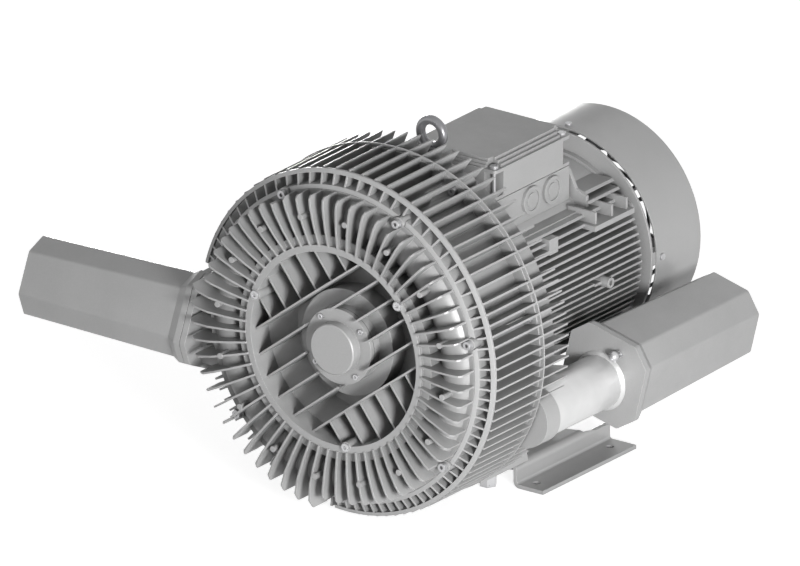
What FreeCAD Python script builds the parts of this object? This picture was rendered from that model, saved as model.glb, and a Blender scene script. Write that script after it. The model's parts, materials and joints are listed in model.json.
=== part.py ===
import FreeCAD, Part
import math
import os

# Two-stage side-channel blower, in millimetres.
# All pieces are made around the rotor axis: it runs along +Y through X = 0, Z = 0, and Y = 0 is the front
# plane of the dish rim on the front cover. +X is to the right seen from the front, +Z is up.
# At the end everything moves so that the origin is the middle of the four foot holes, on the floor.

# Place on the floor
AXIS_HEIGHT = 275.0
FOOT_HOLES_MIDDLE = 391.0

# Front cover
RIM_INNER = 148.0
RIM_OUTER = 158.0
LEDGE_RADIUS = 172.0
LEDGE_FRONT = 5.0
DISH_FLOOR = 67.0
DISH_SLOPE_RADIUS = 112.0
DISH_SLOPE_FRONT = 44.0
HUB_STEP_RADIUS = 81.5
HUB_STEP_FRONT = 35.0
HUB_RADIUS = 58.0
COVER_WALL = 6.0
COVER_RADIUS = 236.0
COVER_FLANGE_FRONT = 23.0
COVER_JOINT = 40.0
COVER_FINS = 60
FIRST_FIN_ANGLE = 3.0
FIN_THICKNESS = 3.0
FIN_INSET = 0.5
FIN_START_FRONT = -2.0
FIN_CREST_FRONT = -11.0
FIN_CREST_RADIUS = 219.0
LONG_FIN_RADIUS = 260.0
LONG_FINS_FROM = 167.0
LONG_FINS_TO = 262.0
FIN_BOSSES = 16
FIN_BOSS_RADIUS = 4.5
RIB_ANGLE = 37.5
RIB_PITCH = 34.0
RIB_THICKNESS = 3.0
RIB_RIM_FRONT = 12.0
RIB_CROWN_FRONT = -1.0
RIM_SCREW_ANGLES = (39.0, 159.0, 279.0)
RIM_SCREW_CIRCLE = 149.0
RIM_BOSS_RADIUS = 8.0

# Side channels and impellers
CHANNEL_CIRCLE = 203.0
CHANNEL_RADIUS = 24.0
IMPELLER_RADIUS = 226.0
IMPELLER_RING_INNER = 174.0
IMPELLER_RING_DEPTH = 40.0
IMPELLER_BACK = 8.0
IMPELLER_BLADES = 42
BLADE_THICKNESS = 4.0
IMPELLER_HUB_RADIUS = 44.0
IMPELLER_WEB = 9.0
RUNNING_GAP = 0.5

# Middle casing
CASING_JOINT = 154.0
CASING_BORE = 229.0
CASING_ROOT = 242.0
CASING_TIP = 266.0
TOP_FINS_FROM = 25.0
TOP_FINS_TO = 155.0
TOP_FINS = 26
OTHER_FINS = 64
CASING_RING_RADIUS = 261.0
CASING_RING_THICKNESS = 4.0
JOINT_LINE_RADIUS = 267.5
JOINT_LINE_THICKNESS = 2.0
DIVIDER_THICKNESS = 8.0
BAND_INNER = 236.5
BAND_OUTER = 264.0
BAND_INNER_FRONT = 23.5
BAND_OUTER_FRONT = 36.0
BAND_RAIL = 6.0
BAND_FROM = -95.0
BAND_SWEEP = 260.0
SEAL_RING_OUTER = 62.0

# Rear casing
REAR_FACE = 200.0
REAR_BAND_RADIUS = 250.0
REAR_FIN_TIP = 215.0
REAR_WALL = 9.0
MOTOR_SEAT_RADIUS = 172.0
ARM_X = 122.0
ARM_THICKNESS = 12.0
ARM_REACH = 305.0
ARM_PAD_THICKNESS = 16.0
ARM_PAD_INNER = 68.0
LUG_WIDTH = 44.0
LUG_REACH = 262.0

# Bolts of the casing
CASING_BOLTS = 7
FIRST_BOLT_ANGLE = 13.0
COVER_BOLT_CIRCLE = 235.5
CASING_BOLT_CIRCLE = 249.0
BOLT_THREAD = 4.0
BOLT_HEAD_RADIUS = 6.5
BOLT_HEAD_HEIGHT = 8.0
BOLT_BOSS = 9.0
HOLE_CLEARANCE = 0.4

# Hub cap
CAP_RADIUS = 38.5
CAP_FRONT = -4.0
CAP_FLANGE_FRONT = 13.0
CAP_FLANGE_THICKNESS = 8.0
CAP_SCREW_CIRCLE = 48.0
CAP_SCREW_ANGLE = 38.0
GASKET = 1.0
SPRING_THICKNESS = 1.2

# Shaft and bearings: bore radius, outer radius, width
FRONT_BEARING = (20.0, 45.0, 23.0)
DRIVE_BEARING = (25.0, 55.0, 27.0)
REAR_BEARING = (20.0, 45.0, 23.0)
BALLS = 8
FRONT_BEARING_AT = 27.0
DRIVE_BEARING_AT = 204.0
REAR_BEARING_AT = 540.0
SHAFT_FRONT = 20.0
IMPELLER_SEAT_RADIUS = 23.0
CORE_SEAT_RADIUS = 29.0
FAN_SEAT_RADIUS = 17.0
SHAFT_END = 640.0
KEY_WIDTH = 12.0
KEY_HEIGHT = 8.0
KEY_LENGTH = 30.0

# Motor
FRAME_END = 548.0
FRAME_ROOT = 134.0
FRAME_TIP = 155.0
FRAME_BORE = 125.0
FRAME_FIN_PITCH = 10.5
FRAME_FIN_THICKNESS = 3.2
FRAME_SIDE_FINS_BELOW = 7
FRAME_SIDE_FINS_ABOVE = 11
FRAME_BOTTOM_FINS = 5
SIDE_BOSS_RADIUS = 8.0
SIDE_BOSS_Y = 451.0
RAIL_FRONT = 440.0
RAIL_LENGTH = 96.0
RAIL_REACH = 150.0
RAIL_HEIGHT_AT = 78.0
RAIL_THICKNESS = 8.0
CORE_START = 290.0
CORE_LENGTH = 170.0
WINDING_LENGTH = 34.0
AIR_GAP = 0.6
ROTOR_RADIUS = 79.0
SHIELD_THICKNESS = 14.0
SHIELD_FLANGE = 4.0
SHIELD_SCREW_CIRCLE = 142.0
SHIELD_SCREW_ANGLE = 31.0
MOTOR_BOLT_CIRCLE = 152.0
MOTOR_BOLT_ANGLE = 45.0
MOTOR_BOLT_THREAD = 5.0
COWL_FRONT = 568.0
COWL_RADIUS = 167.0
COWL_END = 682.0
COWL_WALL = 2.5
COWL_EDGE = 9.0
COWL_SCREW_AT = 580.0
FAN_RADIUS = 150.0
FAN_AT = 588.0
FAN_BLADES = 9
LEG_X = 52.0
LEG_FROM = 398.0
LEG_LENGTH = 44.0
LEG_WIDTH = 26.0

# Terminal box
BOX_FRONT = 286.0
BOX_LENGTH = 186.0
BOX_HALF_WIDTH = 83.0
BOX_BOTTOM = 92.0
BOX_SPLIT = 158.0
LID_SHOULDER = 205.0
LID_NOTCH = 20.0
LID_EAR = 5.0
LID_SCREW_INSET = 10.0
LID_ROOF = 218.0
LID_ROOF_HALF_WIDTH = 63.0
BOX_WALL = 5.0
SADDLE_HALF_WIDTH = 58.0
LEDGE_REACH = 110.0
PLUG_RADIUS = 21.0
PLUG_PLACES = (371.0, 422.0)
PLUG_HEIGHT_AT = 135.0

# Foot bracket
FOOT_PLATE = 6.0
FOOT_WEB_X = 126.0
FOOT_EDGE_X = 173.0
FOOT_HEIGHT = 36.0
FOOT_FRONT = 279.0
FOOT_LENGTH = 230.0
FOOT_HOLE_RADIUS = 6.0
FOOT_HOLE_X = 146.0
FOOT_HOLE_SPACING = 180.0
FOOT_BEND = 10.0
FOOT_CUT_FROM = 448.0
FOOT_BOLT_THREAD = 5.0
LEVEL_FOOT_X = 85.0
LEVEL_FOOT_Y = 265.0
LEVEL_FOOT_HEX = 23.0
LEVEL_FOOT_HEIGHT = 28.0
LEVEL_FOOT_STUD = 7.0

# Silencers and pipe
SILENCER_LENGTH = 297.0
SILENCER_WIDTH = 126.0
SILENCER_END_WIDTH = 117.0
SILENCER_FLARE_WIDTH = 138.0
SILENCER_FLARE = 25.0
SILENCER_CHAMFER = 26.5
SILENCER_ROUND = 7.0
SILENCER_WALL = 5.0
SILENCER_PLATE = 12.0
MOUTH_RADIUS = 37.5
MOUTH_PLATE = 10.0
INNER_TUBE_RADIUS = 40.0
PIPE_RADIUS = 40.5
PIPE_WALL = 3.5
PIPE_X = 225.0
PIPE_Z = -107.0
PIPE_SOCKET = 15.0
PIPE_COLLAR = 5.0
RIGHT_SILENCER_FRONT = 348.0
RIGHT_SILENCER_OFFSET = (5.0, 9.0)
RIGHT_SILENCER_TURN = -14.0
LEFT_PORT_Y = 80.0
LEFT_PORT_Z = -44.0
LEFT_PORT_FACE = 277.0
LEFT_SILENCER_TURN = 24.0
PORT_BOSS = 44.0
PORT_BOSS_END = 190.0
PIPE_FIN_GAP = 12.0
PIPE_FIN_END = 178.0

# Eye bolt, the M12 size
EYE_Y = 243.0
EYE_SEAT = 234.0
EYE_RING = 20.0
EYE_BAR = 7.0
EYE_COLLAR = 15.0
EYE_COLLAR_HEIGHT = 7.0
EYE_THREAD = 6.0

AXIS = FreeCAD.Vector(0, -1, 0)
ORIGIN = FreeCAD.Vector(0, 0, 0)


# Shapes that many pieces use

def vector(x, y, z):
    return FreeCAD.Vector(x, y, z)


def around(radius, degrees, y=0.0):
    """Point at a radius and an angle of the front view, which runs from +X up to +Z."""
    turn = math.radians(degrees)
    return vector(radius * math.cos(turn), y, radius * math.sin(turn))


def side_plane(r, y):
    return vector(r, y, 0)


def closed_wire(steps, lift):
    """Closed wire. Two numbers are a straight run to a point; four are an arc by way of the first two."""
    first = steps[0]
    here = lift(*first)
    edges = []
    for step in list(steps[1:]) + [first]:
        there = lift(*step[-2:])
        if len(step) == 4:
            edges.append(Part.Arc(here, lift(*step[:2]), there).toShape())
        elif here.distanceToPoint(there) > 1e-6:
            edges.append(Part.makeLine(here, there))
        here = there
    return Part.Wire(edges)


def turned(steps, start=0.0, sweep=360.0):
    """Body of revolution around the rotor axis; the steps are radius and y."""
    body = Part.Face(closed_wire(steps, side_plane)).revolve(ORIGIN, AXIS, sweep)
    body.rotate(ORIGIN, AXIS, start)
    return body


def ring(inner, outer, front, back):
    return turned([(inner, front), (outer, front), (outer, back), (inner, back)])


def rod(radius, front, back, x=0.0, z=0.0):
    """Cylinder along Y from front to back."""
    return Part.makeCylinder(radius, back - front, vector(x, front, z), vector(0, 1, 0))


def rod_around(radius, front, back, circle, degrees):
    place = around(circle, degrees)
    return rod(radius, front, back, place.x, place.z)


def post(radius, bottom, top, x, y):
    """Cylinder along Z."""
    return Part.makeCylinder(radius, top - bottom, vector(x, y, bottom), vector(0, 0, 1))


def block(x0, x1, y0, y1, z0, z1):
    return Part.makeBox(x1 - x0, y1 - y0, z1 - z0, vector(x0, y0, z0))


def group(solids):
    return Part.makeCompound(solids)


def joined(first, others):
    return first.multiFuse(others).removeSplitter()


def turns(count, first=0.0):
    return [first + 360.0 * number / count for number in range(count)]


def rounded_outline(corners, radius, lift):
    """Closed wire through the corners of a convex outline, each rounded with an arc."""
    edges = []
    ends = []
    count = len(corners)
    for number in range(count):
        corner = FreeCAD.Vector(corners[number][0], corners[number][1], 0)
        before = FreeCAD.Vector(corners[number - 1][0], corners[number - 1][1], 0)
        after = corners[(number + 1) % count]
        to_before = (before - corner).normalize()
        to_after = (FreeCAD.Vector(after[0], after[1], 0) - corner).normalize()
        half = to_before.getAngle(to_after) / 2
        start = corner + to_before * (radius / math.tan(half))
        end = corner + to_after * (radius / math.tan(half))
        centre = corner + (to_before + to_after).normalize() * (radius / math.sin(half))
        middle = centre + (corner - centre).normalize() * radius
        ends.append((start, middle, end))
    for number, (start, middle, end) in enumerate(ends):
        next_start = ends[(number + 1) % count][0]
        edges.append(Part.Arc(lift(start.x, start.y), lift(middle.x, middle.y), lift(end.x, end.y)).toShape())
        edges.append(Part.makeLine(lift(end.x, end.y), lift(next_start.x, next_start.y)))
    return Part.Wire(edges)


def octagon(width, chamfer):
    """Corners of a square of this width with its corners cut off."""
    half = width / 2
    cut = half - chamfer
    return [(half, -cut), (half, cut), (cut, half), (-cut, half),
            (-half, cut), (-half, -cut), (-cut, -half), (cut, -half)]


def finned_outline(root, fins, tip, thickness, y):
    """Round outline with straight fins; each fin is the angle of its direction and its sideways offset."""
    def at(radius, angle, across):
        along = math.sqrt(radius * radius - across * across)
        turn = math.radians(angle)
        return (along * math.cos(turn) - across * math.sin(turn),
                along * math.sin(turn) + across * math.cos(turn))

    half = thickness / 2
    steps = []
    for number, (angle, offset) in enumerate(fins):
        next_angle, next_offset = fins[(number + 1) % len(fins)]
        root_end = at(root, angle, offset + half)
        next_start = at(root, next_angle, next_offset - half)
        steps.append(at(tip, angle, offset - half))
        steps.append(at(tip, angle, offset + half))
        steps.append(root_end)
        end_turn = math.atan2(root_end[1], root_end[0])
        gap = (math.atan2(next_start[1], next_start[0]) - end_turn) % (2 * math.pi)
        middle = end_turn + gap / 2
        steps.append((root * math.cos(middle), root * math.sin(middle)) + next_start)
    return closed_wire(steps, lambda x, z: vector(x, y, z))


def circle_wire(radius, y):
    return Part.Wire([Part.makeCircle(radius, vector(0, y, 0), vector(0, 1, 0))])


def plate_with_holes(outer, holes, back):
    """Solid from an outline and hole outlines that lie in one front plane, back to a depth."""
    face = Part.makeFace([outer] + holes, "Part::FaceMakerBullseye")
    return face.extrude(vector(0, back, 0))


def ring_slot(inner, outer, middle, width_angle, y):
    """Outline of a hole between two radii, this many degrees wide."""
    start = middle - width_angle / 2
    end = middle + width_angle / 2
    a = around(inner, start, y)
    b = around(outer, start, y)
    c = around(outer, end, y)
    d = around(inner, end, y)
    return Part.Wire([
        Part.makeLine(a, b),
        Part.Arc(b, around(outer, middle, y), c).toShape(),
        Part.makeLine(c, d),
        Part.Arc(d, around(inner, middle, y), a).toShape(),
    ])


def bolt_angles():
    return turns(CASING_BOLTS, FIRST_BOLT_ANGLE)


def screws(places, thread, head, height, length):
    """Socket screws along Y, head in front; each place is a point under the head."""
    made = []
    for place in places:
        top = rod(head, place.y - height, place.y, place.x, place.z)
        socket = rod(thread * 0.7, place.y - height, place.y - height * 0.4, place.x, place.z)
        shank = rod(thread, place.y, place.y + length, place.x, place.z)
        made.append(top.fuse(shank).removeSplitter().cut(socket))
    return group(made)


# Front cover

def cover_body():
    outer_bulge = CHANNEL_RADIUS + COVER_WALL
    flange_meets = CHANNEL_CIRCLE + math.sqrt(outer_bulge ** 2 - (COVER_JOINT - COVER_FLANGE_FRONT) ** 2)
    recess = LEDGE_RADIUS + FIN_THICKNESS
    recess_depth = COVER_JOINT - math.sqrt(outer_bulge ** 2 - (CHANNEL_CIRCLE - recess) ** 2)
    bearing = FRONT_BEARING[1]
    bearing_back = FRONT_BEARING_AT + FRONT_BEARING[2]
    hub_front = CAP_FLANGE_FRONT + CAP_FLANGE_THICKNESS + GASKET
    wall_inner = LEDGE_RADIUS - COVER_WALL
    back = DISH_FLOOR + COVER_WALL
    return turned([
        (bearing, hub_front),
        (HUB_RADIUS, hub_front),
        (HUB_RADIUS, HUB_STEP_FRONT),
        (HUB_STEP_RADIUS, HUB_STEP_FRONT),
        (HUB_STEP_RADIUS, DISH_FLOOR),
        (DISH_SLOPE_RADIUS, DISH_FLOOR),
        (RIM_INNER, DISH_SLOPE_FRONT),
        (RIM_INNER, 0),
        (RIM_OUTER, 0),
        (RIM_OUTER, LEDGE_FRONT),
        (LEDGE_RADIUS, LEDGE_FRONT),
        (LEDGE_RADIUS, recess_depth),
        (recess, recess_depth),
        (CHANNEL_CIRCLE, COVER_JOINT - outer_bulge, flange_meets, COVER_FLANGE_FRONT),
        (COVER_RADIUS, COVER_FLANGE_FRONT),
        (COVER_RADIUS, COVER_JOINT),
        (CHANNEL_CIRCLE + CHANNEL_RADIUS, COVER_JOINT),
        (CHANNEL_CIRCLE, COVER_JOINT - CHANNEL_RADIUS, CHANNEL_CIRCLE - CHANNEL_RADIUS, COVER_JOINT),
        (wall_inner, COVER_JOINT),
        (wall_inner, LEDGE_FRONT + COVER_WALL),
        (RIM_OUTER, LEDGE_FRONT + COVER_WALL),
        (RIM_OUTER, DISH_SLOPE_FRONT + COVER_WALL),
        (DISH_SLOPE_RADIUS + COVER_WALL, back),
        (CORE_SEAT_RADIUS + COVER_WALL, back),
        (CORE_SEAT_RADIUS + COVER_WALL, bearing_back),
        (bearing, bearing_back),
    ])


def cover_fin(angle):
    """One radial fin; its lower edge runs inside the wall of the cover."""
    low_wall = COVER_JOINT - CHANNEL_RADIUS - COVER_WALL / 2
    steps = [
        (RIM_OUTER - 1, FIN_START_FRONT),
        (RIM_OUTER + 30, FIN_CREST_FRONT + 3),
        (FIN_CREST_RADIUS, FIN_CREST_FRONT),
    ]
    if LONG_FINS_FROM <= angle % 360.0 <= LONG_FINS_TO:
        steps += [
            (LONG_FIN_RADIUS - 14, FIN_CREST_FRONT + 4),
            (LONG_FIN_RADIUS, FIN_CREST_FRONT + 17),
            (LONG_FIN_RADIUS, COVER_JOINT - 1),
            (COVER_RADIUS - 1, COVER_JOINT - 1),
        ]
    else:
        steps += [
            (COVER_RADIUS - 5, FIN_CREST_FRONT + 1),
            (COVER_RADIUS - FIN_INSET, FIN_CREST_FRONT + 6),
        ]
    steps += [
        (COVER_RADIUS - FIN_INSET, COVER_FLANGE_FRONT + 3),
        (CHANNEL_CIRCLE + CHANNEL_RADIUS, COVER_FLANGE_FRONT + 3),
        (CHANNEL_CIRCLE, low_wall, CHANNEL_CIRCLE - CHANNEL_RADIUS, COVER_JOINT - 11),
        (LEDGE_RADIUS - 3, COVER_JOINT - 11),
        (LEDGE_RADIUS - 3, LEDGE_FRONT + 3),
        (RIM_OUTER - 1, LEDGE_FRONT + 3),
    ]
    face = Part.Face(closed_wire(steps, side_plane))
    fin = face.extrude(vector(0, 0, FIN_THICKNESS))
    fin.translate(vector(0, 0, -FIN_THICKNESS / 2))
    fin.rotate(ORIGIN, AXIS, angle)
    return fin


def rib(offset, along_from, along_to, angle):
    """Straight rib across the dish, from the floor up to a front edge that rises to the middle."""
    middle = (along_from + along_to) / 2
    crown = RIB_CROWN_FRONT if along_from < 0 < along_to else RIB_RIM_FRONT
    floor = DISH_FLOOR + COVER_WALL / 2
    steps = [
        (along_from, RIB_RIM_FRONT),
        (middle, crown),
        (along_to, RIB_RIM_FRONT),
        (along_to, floor),
        (along_from, floor),
    ]
    low = offset - RIB_THICKNESS / 2
    face = Part.Face(closed_wire(steps, lambda along, y: vector(along, y, low)))
    plate = face.extrude(vector(0, 0, RIB_THICKNESS))
    plate.rotate(ORIGIN, AXIS, angle)
    return plate


def dish_ribs():
    """Six long ribs, and short ones at right angles in the two outer segments, all within the rim."""
    offsets = [RIB_PITCH * (number - 2.5) for number in range(6)]
    reach = RIM_INNER + 3
    ribs = []
    for offset in offsets:
        half = math.sqrt(reach ** 2 - offset ** 2)
        ribs.append(rib(offset, -half, half, RIB_ANGLE))
    segment = offsets[-1]
    for offset in offsets:
        half = math.sqrt(reach ** 2 - offset ** 2)
        if half > segment + RIB_PITCH / 4:
            ribs.append(rib(offset, segment, half, RIB_ANGLE + 90))
            ribs.append(rib(offset, -half, -segment, RIB_ANGLE + 90))
    inside = turned([
        (HUB_RADIUS - 2, RIB_CROWN_FRONT - 10),
        (RIM_INNER + 3, RIB_CROWN_FRONT - 10),
        (RIM_INNER + 3, DISH_SLOPE_FRONT),
        (DISH_SLOPE_RADIUS, DISH_FLOOR + COVER_WALL / 2),
        (HUB_RADIUS - 2, DISH_FLOOR + COVER_WALL / 2),
    ])
    clear_of_cap = rod(HUB_RADIUS + HOLE_CLEARANCE, -60, CAP_FLANGE_FRONT + CAP_FLANGE_THICKNESS + GASKET)
    return [plate.common(inside).cut(clear_of_cap) for plate in ribs]


def front_cover():
    additions = [cover_fin(angle) for angle in turns(COVER_FINS, FIRST_FIN_ANGLE)]
    additions += dish_ribs()
    for angle in turns(FIN_BOSSES, 15.0):
        additions.append(rod_around(FIN_BOSS_RADIUS, FIN_CREST_FRONT + 1, 13, CHANNEL_CIRCLE, angle))
    for angle in RIM_SCREW_ANGLES:
        additions.append(rod_around(RIM_BOSS_RADIUS, -1, DISH_SLOPE_FRONT + 2, RIM_SCREW_CIRCLE, angle))
    for angle in bolt_angles():
        additions.append(rod_around(BOLT_BOSS, COVER_FLANGE_FRONT - 3, COVER_JOINT, COVER_BOLT_CIRCLE, angle))
    cover = joined(cover_body(), additions)
    holes = []
    for angle in bolt_angles():
        holes.append(rod_around(BOLT_THREAD + HOLE_CLEARANCE, 0, COVER_JOINT + 1, COVER_BOLT_CIRCLE, angle))
        holes.append(rod_around(BOLT_HEAD_RADIUS + 1, -30, COVER_FLANGE_FRONT - 3, COVER_BOLT_CIRCLE, angle))
    for angle in RIM_SCREW_ANGLES:
        holes.append(rod_around(BOLT_THREAD, -2, 22, RIM_SCREW_CIRCLE, angle))
    for angle in turns(4, CAP_SCREW_ANGLE):
        holes.append(rod_around(2.5, 15, 36, CAP_SCREW_CIRCLE + 3, angle))
    return cover.cut(holes)


def cap_screw_places(y):
    return [around(CAP_SCREW_CIRCLE + 3, angle, y) for angle in turns(4, CAP_SCREW_ANGLE)]


def hub_cap():
    back = CAP_FLANGE_FRONT + CAP_FLANGE_THICKNESS
    cap = turned([
        (0, CAP_FRONT),
        (CAP_RADIUS - 1.5, CAP_FRONT),
        (CAP_RADIUS, CAP_FRONT + 1.5),
        (CAP_RADIUS, CAP_FLANGE_FRONT),
        (HUB_RADIUS, CAP_FLANGE_FRONT),
        (HUB_RADIUS, back),
        (FRONT_BEARING[1] - 1, back),
        (FRONT_BEARING[1] - 1, FRONT_BEARING_AT - SPRING_THICKNESS),
        (CAP_RADIUS - 3, FRONT_BEARING_AT - SPRING_THICKNESS),
        (CAP_RADIUS - 3, CAP_FRONT + 4),
        (0, CAP_FRONT + 4),
    ])
    return cap.cut([rod(2.5 + HOLE_CLEARANCE, 0, 40, place.x, place.z) for place in cap_screw_places(0)])


def hub_cap_gasket():
    front = CAP_FLANGE_FRONT + CAP_FLANGE_THICKNESS
    seal = ring(FRONT_BEARING[1], HUB_RADIUS, front, front + GASKET)
    return seal.cut([rod(2.5 + HOLE_CLEARANCE, 0, 40, place.x, place.z) for place in cap_screw_places(0)])


def hub_cap_screws():
    return screws(cap_screw_places(CAP_FLANGE_FRONT), 2.5, 4.2, 3.0, 20.0)


def rim_screws():
    places = [around(RIM_SCREW_CIRCLE, angle, -1) for angle in RIM_SCREW_ANGLES]
    return screws(places, BOLT_THREAD, BOLT_HEAD_RADIUS, 3.0, 20.0)


def cover_bolts():
    places = [around(COVER_BOLT_CIRCLE, angle, COVER_FLANGE_FRONT - 3) for angle in bolt_angles()]
    return screws(places, BOLT_THREAD, BOLT_HEAD_RADIUS, BOLT_HEAD_HEIGHT, 34.0)


# Middle casing

def casing_fin_list():
    """Fins around the casing, further apart over the top."""
    top_sweep = TOP_FINS_TO - TOP_FINS_FROM
    top = [TOP_FINS_FROM + top_sweep * number / TOP_FINS for number in range(TOP_FINS)]
    rest = [TOP_FINS_TO + (360.0 - top_sweep) * number / OTHER_FINS for number in range(OTHER_FINS)]
    return [(angle, 0.0) for angle in top + rest]


def casing_ring_plate(bore, radius, front, back):
    face = Part.makeFace([circle_wire(radius, front), circle_wire(bore, front)], "Part::FaceMakerBullseye")
    return face.extrude(vector(0, back - front, 0))


def front_band():
    """Sloping band between the cover and the fins, with a pocket in each fin space."""
    rail_slope = (BAND_OUTER_FRONT - BAND_INNER_FRONT) / (BAND_OUTER - BAND_INNER)
    back = COVER_JOINT
    inner_top = BAND_INNER_FRONT + rail_slope * BAND_RAIL
    outer_top = BAND_OUTER_FRONT - rail_slope * BAND_RAIL
    inner_rail = turned([
        (BAND_INNER, BAND_INNER_FRONT),
        (BAND_INNER + BAND_RAIL, inner_top),
        (BAND_INNER + BAND_RAIL, back),
        (BAND_INNER, back),
    ], BAND_FROM, BAND_SWEEP)
    outer_rail = turned([
        (BAND_OUTER - BAND_RAIL, outer_top),
        (BAND_OUTER, BAND_OUTER_FRONT),
        (BAND_OUTER, back),
        (BAND_OUTER - BAND_RAIL, back),
    ], BAND_FROM, BAND_SWEEP)
    bridges = []
    steps = [
        (BAND_INNER + BAND_RAIL - 1, inner_top + 1),
        (BAND_OUTER - BAND_RAIL + 1, outer_top + 1),
        (BAND_OUTER - BAND_RAIL + 1, back),
        (BAND_INNER + BAND_RAIL - 1, back),
    ]
    for angle, offset in casing_fin_list():
        if (angle - BAND_FROM) % 360.0 > BAND_SWEEP:
            continue
        face = Part.Face(closed_wire(steps, side_plane))
        bridge = face.extrude(vector(0, 0, FIN_THICKNESS))
        bridge.translate(vector(0, 0, -FIN_THICKNESS / 2))
        bridge.rotate(ORIGIN, AXIS, angle)
        bridges.append(bridge)
    return inner_rail.multiFuse([outer_rail] + bridges)


def middle_casing():
    outline = finned_outline(CASING_ROOT, casing_fin_list(), CASING_TIP, FIN_THICKNESS, COVER_JOINT)
    depth = CASING_JOINT - COVER_JOINT
    barrel = plate_with_holes(outline, [circle_wire(CASING_BORE, COVER_JOINT)], depth)
    divider_at = (COVER_JOINT + CASING_JOINT) / 2
    wall = ring(SEAL_RING_OUTER, CASING_BORE + 3, divider_at - DIVIDER_THICKNESS / 2,
                divider_at + DIVIDER_THICKNESS / 2)
    flange = casing_ring_plate(CASING_BORE + 3, CASING_RING_RADIUS, CASING_JOINT - CASING_RING_THICKNESS,
                               CASING_JOINT)
    joint_line = casing_ring_plate(CASING_ROOT + 4, JOINT_LINE_RADIUS, CASING_JOINT - JOINT_LINE_THICKNESS,
                                   CASING_JOINT)
    neck = block(-LEFT_PORT_FACE + 10, -CASING_BORE - 4, LEFT_PORT_Y - 36, LEFT_PORT_Y + 50,
                 LEFT_PORT_Z - 52, LEFT_PORT_Z + 52)
    pad = left_port_pad()
    body = barrel.multiFuse([wall, flange, joint_line, neck, pad, front_band()])
    body = body.cut(rod(CASING_BORE, COVER_JOINT, divider_at - DIVIDER_THICKNESS / 2))
    body = body.cut(rod(CASING_BORE, divider_at + DIVIDER_THICKNESS / 2, CASING_JOINT))
    holes = [Part.makeCylinder(MOUTH_RADIUS - 4, 80, vector(-LEFT_PORT_FACE - 1, LEFT_PORT_Y, LEFT_PORT_Z),
                               vector(1, 0, 0))]
    for angle in bolt_angles():
        holes.append(rod_around(BOLT_THREAD, COVER_JOINT - 1, COVER_JOINT + 20, COVER_BOLT_CIRCLE, angle))
        holes.append(rod_around(BOLT_BOSS + 1, -10, COVER_JOINT, COVER_BOLT_CIRCLE, angle))
        holes.append(rod_around(BOLT_THREAD + HOLE_CLEARANCE, CASING_JOINT - 60, CASING_JOINT + 1,
                                CASING_BOLT_CIRCLE, angle))
        holes.append(rod_around(BOLT_HEAD_RADIUS + 1, CASING_JOINT - 60, CASING_JOINT - CASING_RING_THICKNESS,
                                CASING_BOLT_CIRCLE, angle))
    return body.cut(holes).removeSplitter()


def left_plane(x):
    """Places the section of the left silencer: across is turned from Y, seen along the silencer."""
    turn = math.radians(LEFT_SILENCER_TURN)

    def lift(across, up):
        y = LEFT_PORT_Y + across * math.cos(turn) + up * math.sin(turn)
        z = LEFT_PORT_Z - across * math.sin(turn) + up * math.cos(turn)
        return vector(x, y, z)
    return lift


def right_plane(y):
    turn = math.radians(RIGHT_SILENCER_TURN)

    def lift(across, up):
        x = PIPE_X + RIGHT_SILENCER_OFFSET[0] + across * math.cos(turn) - up * math.sin(turn)
        z = PIPE_Z + RIGHT_SILENCER_OFFSET[1] + across * math.sin(turn) + up * math.cos(turn)
        return vector(x, y, z)
    return lift


def left_port_pad():
    outline = rounded_outline(octagon(SILENCER_FLARE_WIDTH, SILENCER_CHAMFER), SILENCER_ROUND,
                              left_plane(-LEFT_PORT_FACE + GASKET))
    return Part.Face(outline).extrude(vector(9.5, 0, 0))


# Rear casing

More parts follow.
